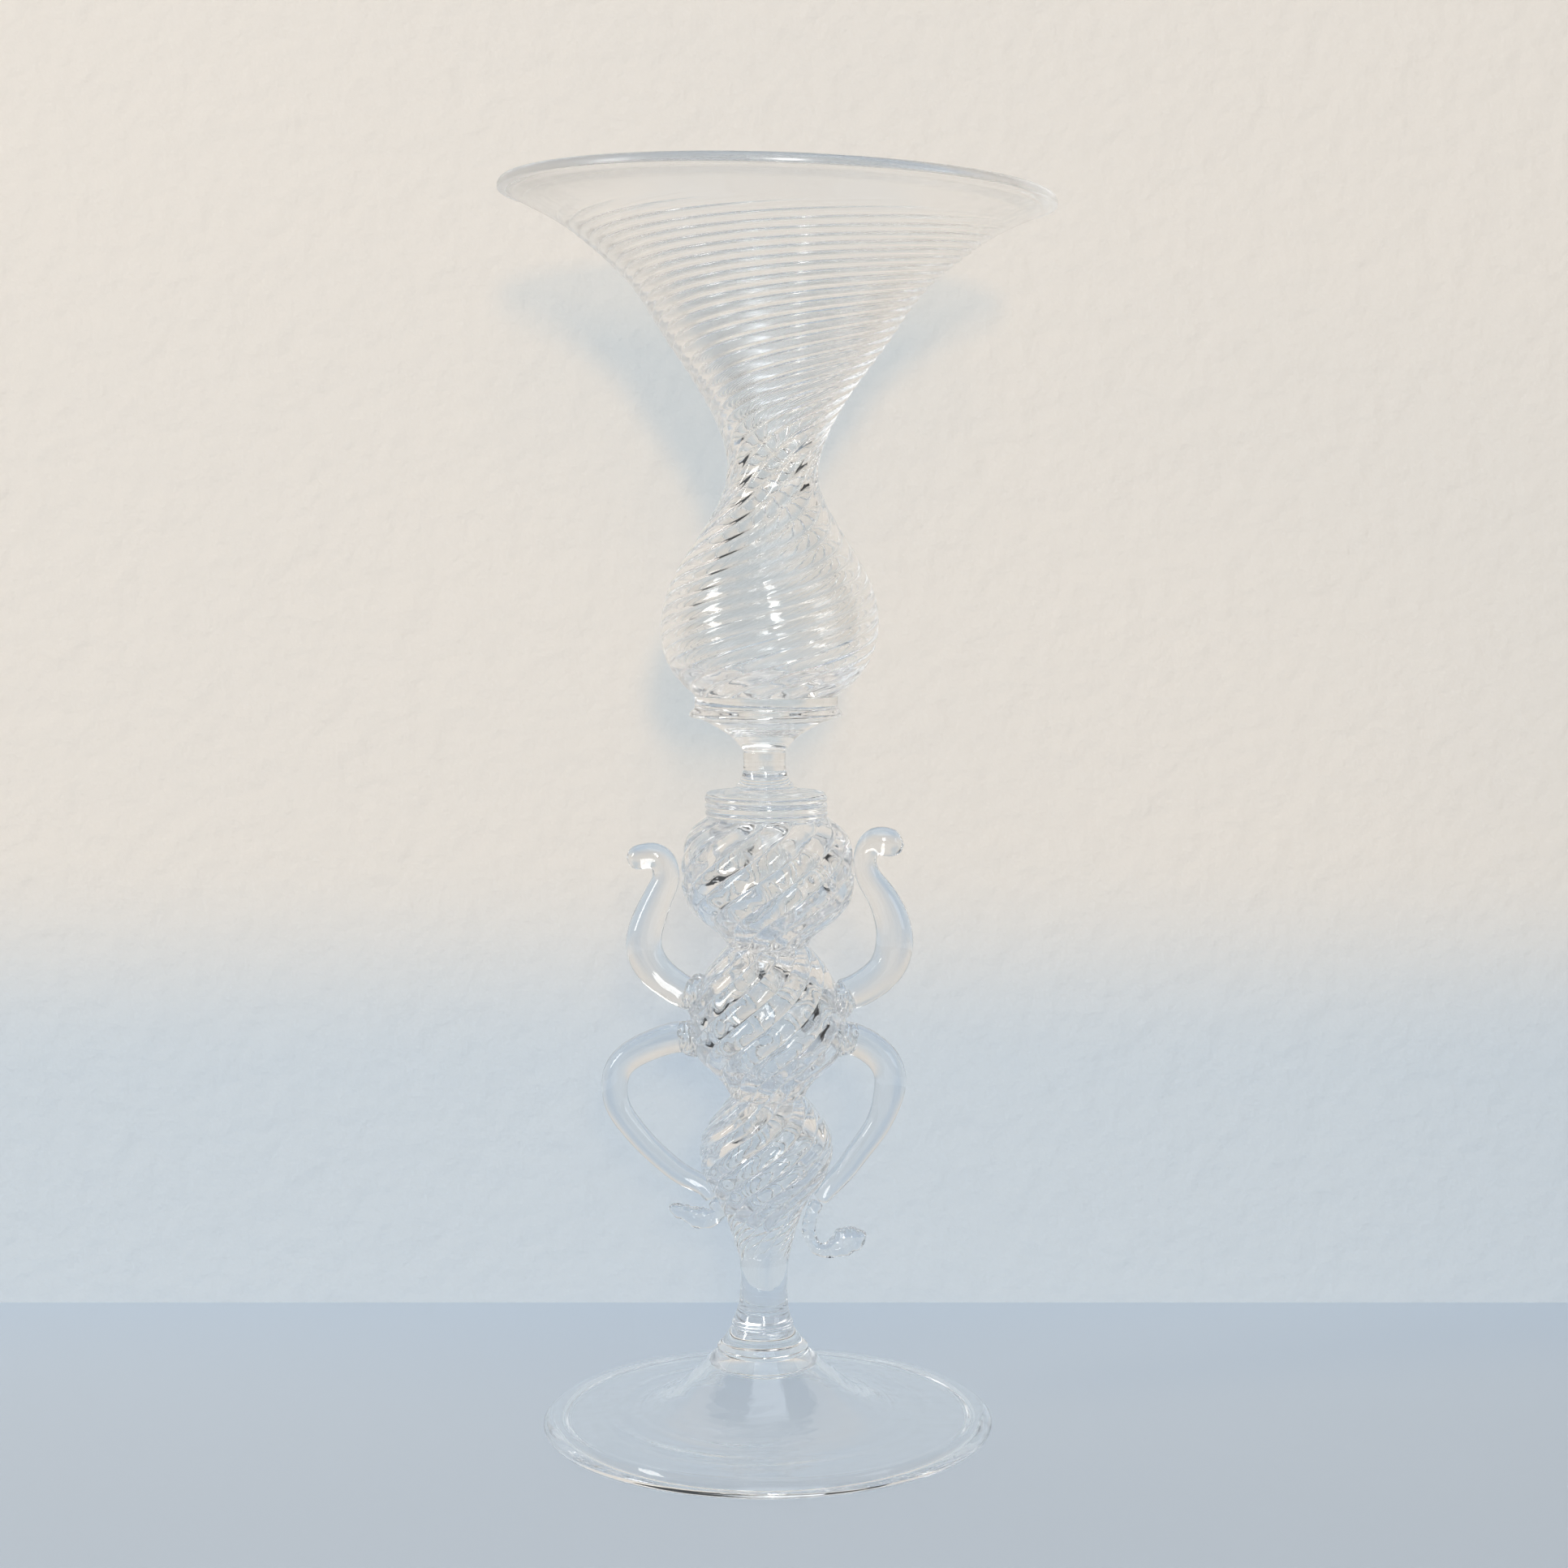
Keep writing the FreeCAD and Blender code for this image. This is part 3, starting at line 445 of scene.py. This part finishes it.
def groove_swell(place):
    """Swell of the bowl's ribs: broad, nearly flat crests and a narrow, rounded groove."""
    near = min(place, 1 - place)
    return 0.75 * (1 - math.exp(-((near / GROOVE) ** 2))) + 0.25 * (0.5 - 0.5 * math.cos(2 * math.pi * place))


BOWL_COLUMNS = [(share * 2 * math.pi, groove_swell(share * RIBS % 1.0)) for share in RIB_COLUMNS]


def bowl_depth(z):
    """Depth of the bowl's grooves, none at the joint and in the plain band."""
    depth = float(np.interp(z, BOWL_HEIGHTS, BOWL_DEPTHS))
    depth *= 1.0 + DEEPER * min(1.0, max(0.0, (z - DEEPER_FROM) / DEEPER_OVER))
    return depth * min(1.0, (z - BOWL_FOOT) / 0.8) * min(1.0, max(0.0, (PLAIN_BAND - z) / BAND_FADE))


def bowl_loop(crest, z, turn, depth=0.0):
    return [
        column_point(crest - depth * (1 - swell), turn + around, z)
        for around, swell in BOWL_COLUMNS
    ]


def lip_line():
    """Points over the rolled lip from the outside in."""
    angles = [math.radians(LIP_FROM + i * LIP_STEP) for i in range(1, LIP_POINTS + 1)]
    return [(LIP_RADIUS + LIP * math.cos(a), RIM_TOP - LIP + LIP * math.sin(a)) for a in angles]


def inside_line():
    """Points of the smooth inner wall from the lip down, each square to the outside."""
    points = []
    for z in np.linspace(INSIDE_TOP, INSIDE_LOW, INSIDE_ROWS):
        slope = (float(BOWL_CREST(z + 0.05)) - float(BOWL_CREST(z - 0.05))) / 0.1
        length = math.hypot(1, slope)
        r, height = float(BOWL_CREST(z)) - BOWL_WALL / length, z + BOWL_WALL * slope / length
        # under the roll of the lip, and above the floor where the wall curls in
        if height < 269.2 and (height > 168.6 or r > 20):
            points.append((r, height))
    return points


def bowl():
    """Ribbed outside from the joint to the plain band, the rolled lip, and the smooth inside to the floor."""
    last = BOWL_HEIGHTS[-1]
    heights = list(np.arange(BOWL_FOOT, last - BOWL_ROW, BOWL_ROW)) + [last]
    loops = [axis_point(BOWL_FOOT)]
    for z in heights:
        loops.append(bowl_loop(float(BOWL_CREST(z)), z, math.radians(float(BOWL_TURN(z))), bowl_depth(z)))
    inside = softened(lip_line() + inside_line() + FLOOR_LINE, 0.35, 0.45)
    last_turn = math.radians(float(BOWL_TURN(last)))
    loops += [bowl_loop(r, z, last_turn) for r, z in inside[:-1]]
    loops.append(axis_point(FLOOR_LINE[-1][1]))
    return new_piece("glass_bowl", *skin(loops, [JOINT] + [GLASS] * (len(loops) - 2)), sharp=60)


# Trails: solid rods along smooth lines in the plane of the wings

# Widest radius of the knop that a row is measured from
BELLY_RADIUS = {"M": 17.3, "U": 19.1, "L": 14.8}
LOWER_BELLY, MIDDLE_BELLY, UPPER_BELLY = 61.75, 90.96, 125.2
# Rows of a trail: knop, reach from its side out, height between two bellies, width, and flatness
UPPER_LEFT = [
    ("M", -0.22, 0.155, 0.85, 1), ("M", 0, 0.18, 0.88, 1), ("M", 0.4, 0.25, 0.92, 1),
    ("M", 0.8, 0.355, 0.98, 1), ("M", 1, 0.5, 1, 1), ("M", 0.94, 0.62, 0.95, 1),
    ("M", 0.8, 0.73, 0.88, 1), ("U", 0.55, 0.84, 0.8, 1), ("U", 0.41, 0.92, 0.76, 1),
    ("U", 0.4, 0.98, 0.74, 1), ("U", 0.52, 1.05, 0.73, 1), ("U", 0.8, 1.08, 0.72, 1),
    ("U", 1.12, 1.07, 0.68, 1), ("U", 1.36, 1.07, 0.58, 1), ("U", 1.46, 1.07, 0.42, 1),
]
UPPER_RIGHT = [
    ("M", -0.22, 0.165, 0.88, 1), ("M", 0.1, 0.19, 0.92, 1), ("M", 0.5, 0.255, 0.96, 1),
    ("M", 0.85, 0.36, 1, 1), ("M", 1, 0.5, 1.04, 1), ("M", 0.98, 0.62, 0.98, 1),
    ("M", 0.87, 0.73, 0.9, 1), ("U", 0.62, 0.84, 0.8, 1), ("U", 0.36, 0.94, 0.7, 1),
    ("U", 0.26, 1.03, 0.64, 1), ("U", 0.3, 1.11, 0.66, 1), ("U", 0.52, 1.17, 0.76, 1),
    ("U", 0.85, 1.165, 0.78, 1), ("U", 1.13, 1.15, 0.62, 1), ("U", 1.24, 1.15, 0.5, 1),
]
LOWER_LEFT = [
    ("M", -0.1, 0.887, 1, 1), ("M", 0.2, 0.88, 0.98, 1), ("M", 0.48, 0.83, 0.94, 1),
    ("M", 0.75, 0.755, 0.9, 1), ("M", 0.94, 0.65, 0.86, 1), ("M", 1, 0.51, 0.83, 1),
    ("M", 0.95, 0.35, 0.78, 1), ("L", 0.81, 0.2, 0.74, 1), ("L", 0.62, 0.055, 0.7, 1),
    ("L", 0.4, -0.08, 0.68, 1), ("L", 0.17, -0.19, 0.66, 1), ("L", -0.034, -0.262, 0.62, 1),
]
LOWER_RIGHT = [
    ("M", -0.2, 0.89, 1.04, 1), ("M", 0.1, 0.875, 1.02, 1), ("M", 0.45, 0.825, 1, 1),
    ("M", 0.8, 0.73, 1, 1), ("M", 0.99, 0.6, 1, 1), ("M", 0.98, 0.47, 0.98, 1),
    ("L", 0.88, 0.31, 0.86, 1), ("L", 0.7, 0.16, 0.78, 1), ("L", 0.45, 0.015, 0.74, 1),
    ("L", 0.2, -0.13, 0.7, 1), ("L", -0.05, -0.25, 0.66, 1),
]
LEFT_TAIL = [
    ("L", -0.151, -0.356, 0.55, 1), ("L", -0.2, -0.442, 0.54, 0.9), ("L", -0.115, -0.505, 0.63, 0.75),
    ("L", 0.02, -0.507, 0.7, 0.6), ("L", 0.18, -0.471, 0.54, 0.6), ("L", 0.3, -0.44, 0.4, 0.6),
    ("L", 0.37, -0.415, 0.22, 0.8),
]
RIGHT_TAIL = [
    ("L", -0.285, -0.38, 0.46, 1), ("L", -0.395, -0.46, 0.43, 1), ("L", -0.457, -0.568, 0.42, 1),
    ("L", -0.431, -0.671, 0.4, 1), ("L", -0.302, -0.745, 0.4, 1), ("L", -0.1, -0.757, 0.52, 0.8),
    ("L", 0.156, -0.7, 0.85, 0.5), ("L", 0.395, -0.66, 0.74, 0.5), ("L", 0.57, -0.625, 0.26, 0.6),
]
UPPER_WIDTH, LOWER_WIDTH = 8, 7
ROD_STEP, LUMPY_STEP, TAIL_LUMPS = 0.7, 0.25, 0.2


def trail_rows(rows, side, reach, low, high, width):
    """Places and sections in millimetres, as (x, z, width, depth), from a trail's rows."""
    out = []
    for carrier, reach_share, height_share, width_share, flat in rows:
        near = BELLY_RADIUS[carrier]
        x = side * (near + (reach - near) * reach_share)
        out.append((x, low + (high - low) * height_share, width * width_share, width * width_share * flat))
    return out


def rod_line(rows, step):
    """Splines of x, z, width and depth at even steps along a trail, and its length."""
    run = [0.0]
    for a, b in zip(rows, rows[1:]):
        run.append(run[-1] + math.hypot(b[0] - a[0], b[1] - a[1]))
    at = np.linspace(0, run[-1], int(run[-1] / step) + 1)
    return [spline(run, column)(at) for column in zip(*rows)], run[-1]


def round_end(from_end, reach):
    """Share of the full section at a distance from a rod's end that is rounded over a reach."""
    near = from_end / reach
    return math.sqrt(max(0.0, 1 - (1 - near) ** 2)) if near < 1 else 1.0


def rod(name, rows, start_round=0.5, end_round=1.0, lumps=0.0, columns=40):
    """Solid rod of glass along a smooth line, with rounded ends and a lumpy skin where lumps says so."""
    (xs, zs, widths, depths), length = rod_line(rows, LUMPY_STEP if lumps else ROD_STEP)
    run = np.linspace(0, length, len(xs))
    loops = [[Vector((xs[0], 0, zs[0])) * MM]]
    for i in range(1, len(xs) - 1):
        along_x, along_z = xs[i + 1] - xs[i - 1], zs[i + 1] - zs[i - 1]
        size = math.hypot(along_x, along_z)
        half = widths[i] / 2
        ease = min(round_end(run[i], half * start_round), round_end(length - run[i], half * end_round))
        loop = []
        for k in range(columns):
            angle = 2 * math.pi * k / columns
            spot = Vector((run[i] * 0.75, 1.1 * math.cos(angle), 1.1 * math.sin(angle) + zs[0]))
            lump = 1 + lumps * noise.noise(spot)
            across = half * ease * math.cos(angle) * lump
            deep = -depths[i] / 2 * ease * math.sin(angle) * lump
            x, z = xs[i] - along_z / size * across, zs[i] + along_x / size * across
            loop.append(Vector((x, deep, z)) * MM)
        loops.append(loop)
    loops.append([Vector((xs[-1], 0, zs[-1])) * MM])
    return new_piece(name, *skin(loops, [GLASS] * (len(loops) - 1)), sharp=70)


def wings():
    """The four wings and the two tails that run on from the lower ones, by node."""
    made = {}
    for corner, rows, side, reach in (("left", UPPER_LEFT, -1, 27.3), ("right", UPPER_RIGHT, 1, 27.9)):
        line = trail_rows(rows, side, reach, MIDDLE_BELLY, UPPER_BELLY, UPPER_WIDTH)
        made["wing_upper_" + corner] = rod("glass_wing_upper_" + corner, line)
    for corner, upper, lower, side, reach in (
        ("left", LOWER_LEFT, LEFT_TAIL, -1, 33.9), ("right", LOWER_RIGHT, RIGHT_TAIL, 1, 27.1),
    ):
        both = trail_rows(upper + lower, side, reach, LOWER_BELLY, MIDDLE_BELLY, LOWER_WIDTH)
        wing, tail = both[: len(upper) + 1], both[len(upper) :]
        made["wing_lower_" + corner] = rod("glass_wing_lower_" + corner, wing, end_round=0.4)
        made["tail_" + corner] = rod("glass_tail_" + corner, tail, start_round=0.4, lumps=TAIL_LUMPS)
    return made


# Pads: side, height on the middle knop as a share, and how tall
PADS = {
    "pad_upper_left": (-1, 0.665, 1.0), "pad_upper_right": (1, 0.615, 0.76),
    "pad_lower_left": (-1, 0.385, 0.9), "pad_lower_right": (1, 0.378, 0.8),
}
# Half thickness and half width of a pad, and how deep its middle lies under the crest
PAD_THICK, PAD_WIDE, PAD_SUNK = 3.2, 4.6, 0.6
# Marks of the pincers along its upper and lower edge: depth, height, spread and distance apart
PINCH, PINCH_AT, PINCH_SPREAD, PINCH_GAP = 0.26, 0.95, 0.03, 0.55
PAD_ROWS, PAD_COLUMNS = 40, 64


def pinched(y, z, polar):
    """Share of its height that a pad keeps where the pincers crimped its edge."""
    edge = math.exp(-((abs(z) - PINCH_AT) ** 2) / PINCH_SPREAD) * math.sin(polar) ** 2
    return 1 - PINCH * edge * (0.5 + 0.5 * math.cos(2 * math.pi * y / PINCH_GAP))


def pad(name):
    """Pinched pad of glass where a trail is pressed onto the middle knop."""
    side, height_share, tall = PADS[name]
    middle = LOWER_TOP + (MIDDLE_TOP - LOWER_TOP) * height_share
    surface = float(KNOP_CREST["middle"](middle)) - PAD_SUNK
    loops = [[Vector((side * (surface - PAD_THICK), 0, middle)) * MM]]
    for i in range(PAD_ROWS - 1, 0, -1):
        polar = math.pi * i / PAD_ROWS
        out = math.cos(polar)
        loop = []
        for k in range(PAD_COLUMNS):
            angle = 2 * math.pi * k / PAD_COLUMNS
            y, z = math.sin(polar) * math.cos(angle), math.sin(polar) * math.sin(angle)
            lump = 1 + 0.2 * noise.noise(Vector((out * 2.2, y * 2.2 + 9 * height_share, z * 2.2)))
            height = PAD_WIDE * tall * z * lump * pinched(y, z, polar)
            place = Vector((side * (surface + PAD_THICK * out * lump), PAD_WIDE * y * lump, middle + height))
            loop.append(place * MM)
        # faces turned out on either side
        loops.append(loop[::side])
    loops.append([Vector((side * (surface + PAD_THICK), 0, middle)) * MM])
    return new_piece("glass_" + name, *skin(loops, [GLASS] * (len(loops) - 1)), sharp=80)


# Materials

def material(name):
    made = bpy.data.materials.new(name)
    made.use_nodes = True
    made.node_tree.nodes.clear()
    return made, made.node_tree.nodes, made.node_tree.links


def add_node(nodes, kind, values):
    """Shader node with constants set on its own sockets."""
    made = nodes.new(kind)
    for socket, value in values.items():
        made.inputs[socket].default_value = value
    return made


def mist_over_height(nodes, links, place, glass, rows):
    """Roughness of a glass by height. rows holds height in metres and roughness, from the lowest up."""
    low, high = rows[0][0], rows[-1][0]
    level = nodes.new("ShaderNodeSeparateXYZ")
    share = add_node(nodes, "ShaderNodeMapRange", {"From Min": low, "From Max": high})
    mist = nodes.new("ShaderNodeValToRGB")
    stops = mist.color_ramp.elements
    for _ in rows[2:]:
        stops.new(0.5)
    for stop, (height, amount) in zip(stops, rows):
        stop.position = (height - low) / (high - low)
        stop.color = (amount, amount, amount, 1.0)
    links.new(place.outputs["Object"], level.inputs["Vector"])
    links.new(level.outputs["Z"], share.inputs["Value"])
    links.new(share.outputs["Result"], mist.inputs["Fac"])
    links.new(mist.outputs["Color"], glass.inputs["Roughness"])


def clear_glass(name, tint, swirl_scale, swirl_strength, through_colour, misty=None):
    """Colourless blown glass: a little tint and soft swirls in its surface. Light from the lamps and from
    pale surfaces round it shines through in a colour of its own. misty holds rows of height and roughness."""
    made, nodes, links = material(name)
    place = nodes.new("ShaderNodeTexCoord")
    stretch = add_node(nodes, "ShaderNodeMapping", {"Scale": (1.0, 1.0, 2.6)})
    swirl = add_node(nodes, "ShaderNodeTexNoise", {"Scale": swirl_scale, "Detail": 3.0, "Roughness": 0.45})
    bump = add_node(nodes, "ShaderNodeBump", {"Strength": swirl_strength, "Distance": 0.0006})
    glass = add_node(nodes, "ShaderNodeBsdfPrincipled", {
        "Base Color": (*tint, 1.0), "Roughness": 0.0, "IOR": 1.5, "Transmission Weight": 1.0,
    })
    if misty:
        mist_over_height(nodes, links, place, glass, misty)
    links.new(place.outputs["Object"], stretch.inputs["Vector"])
    links.new(stretch.outputs["Vector"], swirl.inputs["Vector"])
    links.new(swirl.outputs["Fac"], bump.inputs["Height"])
    links.new(bump.outputs["Normal"], glass.inputs["Normal"])
    through = add_node(nodes, "ShaderNodeBsdfTransparent", {"Color": (*through_colour, 1.0)})
    ray = nodes.new("ShaderNodeLightPath")
    shader = glass.outputs["BSDF"]
    for kind in ("Is Shadow Ray", "Is Diffuse Ray"):
        choose = nodes.new("ShaderNodeMixShader")
        links.new(ray.outputs[kind], choose.inputs["Fac"])
        links.new(shader, choose.inputs[1])
        links.new(through.outputs["BSDF"], choose.inputs[2])
        shader = choose.outputs["Shader"]
    output = nodes.new("ShaderNodeOutputMaterial")
    links.new(shader, output.inputs["Surface"])
    return made


def joint_clear():
    made, nodes, links = material("fused_joint")
    through = nodes.new("ShaderNodeBsdfTransparent")
    output = nodes.new("ShaderNodeOutputMaterial")
    links.new(through.outputs["BSDF"], output.inputs["Surface"])
    return made


BOWL_MIST = [
    (0.163, 0.05), (0.195, 0.04), (0.206, 0.012), (0.218, 0.02), (0.238, 0.09), (0.267, 0.10), (0.2715, 0.30),
]
BOWL_GLASS = clear_glass("bowl_glass", (0.988, 0.988, 0.985), 90.0, 0.10, (0.87, 0.925, 0.975), BOWL_MIST)
KNOP_GLASS = clear_glass("knop_glass", (0.962, 0.966, 0.968), 140.0, 0.16, (0.93, 0.95, 0.975))
STEM_GLASS = clear_glass("stem_glass", (0.975, 0.98, 0.978), 110.0, 0.10, (0.95, 0.965, 0.98))
TRAIL_GLASS = clear_glass("trail_glass", (0.96, 0.968, 0.975), 60.0, 0.06, (0.93, 0.95, 0.975))
FOOT_GLASS = clear_glass("foot_glass", (0.985, 0.99, 0.988), 70.0, 0.16, (0.985, 0.99, 0.995))
FUSED = joint_clear()


# The pieces on their nodes

def finish_piece(piece, node, glass):
    piece.data.materials.append(glass)
    piece.data.materials.append(FUSED)
    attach(piece, "root")
    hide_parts(node)


finish_piece(foot(), "foot", FOOT_GLASS)
finish_piece(foot_post(), "foot_post", FOOT_GLASS)
finish_piece(foot_collar(), "foot_collar", FOOT_GLASS)
finish_piece(stem(), "stem", STEM_GLASS)
finish_piece(knop("lower", STEM_TOP, LOWER_TOP), "lower_knop", KNOP_GLASS)
finish_piece(knop("middle", LOWER_TOP, MIDDLE_TOP), "middle_knop", KNOP_GLASS)
finish_piece(knop("upper", MIDDLE_TOP, UPPER_TOP), "upper_knop", KNOP_GLASS)
finish_piece(knop_merese(), "knop_merese", STEM_GLASS)
finish_piece(merese_flare(), "merese_flare", STEM_GLASS)
finish_piece(spool(), "spool", STEM_GLASS)
finish_piece(bowl_merese(), "bowl_merese", STEM_GLASS)
finish_piece(bowl(), "bowl", BOWL_GLASS)
for node, piece in wings().items():
    finish_piece(piece, node, TRAIL_GLASS)
for node in PADS:
    finish_piece(pad(node), node, TRAIL_GLASS)


# Camera at the photograph's viewing angle, its focal length in pixels of the photograph

FOCAL_PIXELS, FRAME_PIXELS, SENSOR = 3335, 1932, 36.0
CAMERA_PLACE, CAMERA_DOWN = (0.00359, -0.5903, 0.197685), 0.09118

camera_data = bpy.data.cameras.new("camera")
camera_data.sensor_fit = "HORIZONTAL"
camera_data.sensor_width = SENSOR
camera_data.lens = FOCAL_PIXELS / FRAME_PIXELS * SENSOR
camera_data.clip_start = 0.01
camera = bpy.data.objects.new("camera", camera_data)
camera.location = CAMERA_PLACE
camera.rotation_euler = (math.radians(90) - CAMERA_DOWN, 0, 0)
bpy.context.scene.collection.objects.link(camera)
bpy.context.scene.camera = camera


# Floor and the plaster wall behind, in metres

FLOOR_REACH = 0.9
WALL_REACH, WALL_HEIGHT, WALL_BEHIND = 0.36, 0.41, 0.096
# Between these heights the wall's paint goes from a painted bluish shade below to painted warm light above
PAINTED_SHADE_TOP, PAINTED_LIGHT_FROM = 0.055, 0.125
PAINTED_SHADE, PAINTED_LIGHT = (0.60, 0.65, 0.69, 1.0), (0.78, 0.725, 0.66, 1.0)


def sheet(name, corners, made):
    mesh = bpy.data.meshes.new(name)
    mesh.from_pydata(corners, [], [(0, 1, 2, 3)])
    mesh.materials.append(made)
    made_object = bpy.data.objects.new(name, mesh)
    bpy.context.scene.collection.objects.link(made_object)


def floor_paint():
    made, nodes, links = material("floor_paint")
    values = {"Base Color": (0.66, 0.74, 0.83, 1.0), "Roughness": 0.9}
    surface = add_node(nodes, "ShaderNodeBsdfPrincipled", values)
    output = nodes.new("ShaderNodeOutputMaterial")
    links.new(surface.outputs["BSDF"], output.inputs["Surface"])
    return made


def wall_paint():
    """Rough plaster with painted light and shade: painted warm light above, a painted bluish shade below. It
    is clear from behind.
    """
    made, nodes, links = material("wall_paint")
    surface = add_node(nodes, "ShaderNodeBsdfPrincipled", {"Roughness": 0.9})
    place = nodes.new("ShaderNodeTexCoord")
    split = nodes.new("ShaderNodeSeparateXYZ")
    fade = add_node(nodes, "ShaderNodeMapRange", {"From Min": PAINTED_SHADE_TOP, "From Max": PAINTED_LIGHT_FROM})
    fade.interpolation_type = "SMOOTHERSTEP"
    # painted shade and light: the paint goes from the bluish shade colour below to the warm light colour
    # above, by height
    painted_shade_mix = nodes.new("ShaderNodeMix")
    painted_shade_mix.data_type = "RGBA"
    # sockets 6 and 7 are the two colours of a mix of colours
    painted_shade_mix.inputs[6].default_value = PAINTED_SHADE
    painted_shade_mix.inputs[7].default_value = PAINTED_LIGHT
    lumps = add_node(nodes, "ShaderNodeTexNoise", {"Scale": 160.0, "Detail": 3.0})
    bump = add_node(nodes, "ShaderNodeBump", {"Strength": 0.5, "Distance": 0.002})
    links.new(place.outputs["Object"], split.inputs["Vector"])
    links.new(split.outputs["Z"], fade.inputs["Value"])
    links.new(fade.outputs["Result"], painted_shade_mix.inputs[0])
    links.new(painted_shade_mix.outputs[2], surface.inputs["Base Color"])
    links.new(place.outputs["Object"], lumps.inputs["Vector"])
    links.new(lumps.outputs["Fac"], bump.inputs["Height"])
    links.new(bump.outputs["Normal"], surface.inputs["Normal"])
    side = nodes.new("ShaderNodeNewGeometry")
    clear = nodes.new("ShaderNodeBsdfTransparent")
    one_sided = nodes.new("ShaderNodeMixShader")
    output = nodes.new("ShaderNodeOutputMaterial")
    links.new(side.outputs["Backfacing"], one_sided.inputs["Fac"])
    links.new(surface.outputs["BSDF"], one_sided.inputs[1])
    links.new(clear.outputs["BSDF"], one_sided.inputs[2])
    links.new(one_sided.outputs["Shader"], output.inputs["Surface"])
    return made


sheet("floor", [
    (-FLOOR_REACH, -FLOOR_REACH, 0), (FLOOR_REACH, -FLOOR_REACH, 0),
    (FLOOR_REACH, FLOOR_REACH, 0), (-FLOOR_REACH, FLOOR_REACH, 0),
], floor_paint())
sheet("wall", [
    (-WALL_REACH, WALL_BEHIND, 0), (WALL_REACH, WALL_BEHIND, 0),
    (WALL_REACH, WALL_BEHIND, WALL_HEIGHT), (-WALL_REACH, WALL_BEHIND, WALL_HEIGHT),
], wall_paint())


# Soft light

ROOM_COLOUR, ROOM_LIGHT = (0.97, 0.98, 1.0, 1.0), 0.04
LIGHT_BOUNCES, CLEAR_BOUNCES = 80, 64


def lamp(name, place, target, width, height, power, colour):
    data = bpy.data.lights.new(name, "AREA")
    data.shape = "RECTANGLE"
    data.size = width
    data.size_y = height
    data.energy = power
    data.color = colour
    made = bpy.data.objects.new(name, data)
    made.location = place
    made.rotation_euler = (Vector(target) - Vector(place)).to_track_quat("-Z", "Y").to_euler()
    bpy.context.scene.collection.objects.link(made)


lamp("low_window", (0.12, -1.6, 0.50), (0, 0, 0.15), 0.11, 0.13, 12.9, (1.0, 0.97, 0.93))
lamp("window", (0.17, -1.6, 0.85), (0, 0, 0.15), 0.25, 0.60, 4.7, (1.0, 0.98, 0.95))
lamp("side_window", (-1.15, -0.45, 0.60), (0, 0, 0.15), 0.25, 0.6, 5.7, (1.0, 0.98, 0.95))
lamp("fill", (1.1, -0.6, 0.5), (0, 0, 0.13), 0.5, 0.5, 1.6, (0.92, 0.96, 1.0))
lamp("ceiling", (0.1, -0.35, 1.2), (0, -0.05, 0), 0.7, 0.7, 2.1, (0.90, 0.95, 1.0))

world = bpy.data.worlds.new("room")
world.use_nodes = True
world.node_tree.nodes["Background"].inputs["Color"].default_value = ROOM_COLOUR
world.node_tree.nodes["Background"].inputs["Strength"].default_value = ROOM_LIGHT
bpy.context.scene.world = world
bpy.context.scene.view_settings.view_transform = "Standard"

# Light takes many turns inside thick glass before it leaves
bpy.context.scene.cycles.max_bounces = LIGHT_BOUNCES
bpy.context.scene.cycles.transmission_bounces = LIGHT_BOUNCES
bpy.context.scene.cycles.glossy_bounces = LIGHT_BOUNCES
bpy.context.scene.cycles.transparent_max_bounces = CLEAR_BOUNCES

bpy.context.view_layer.update()
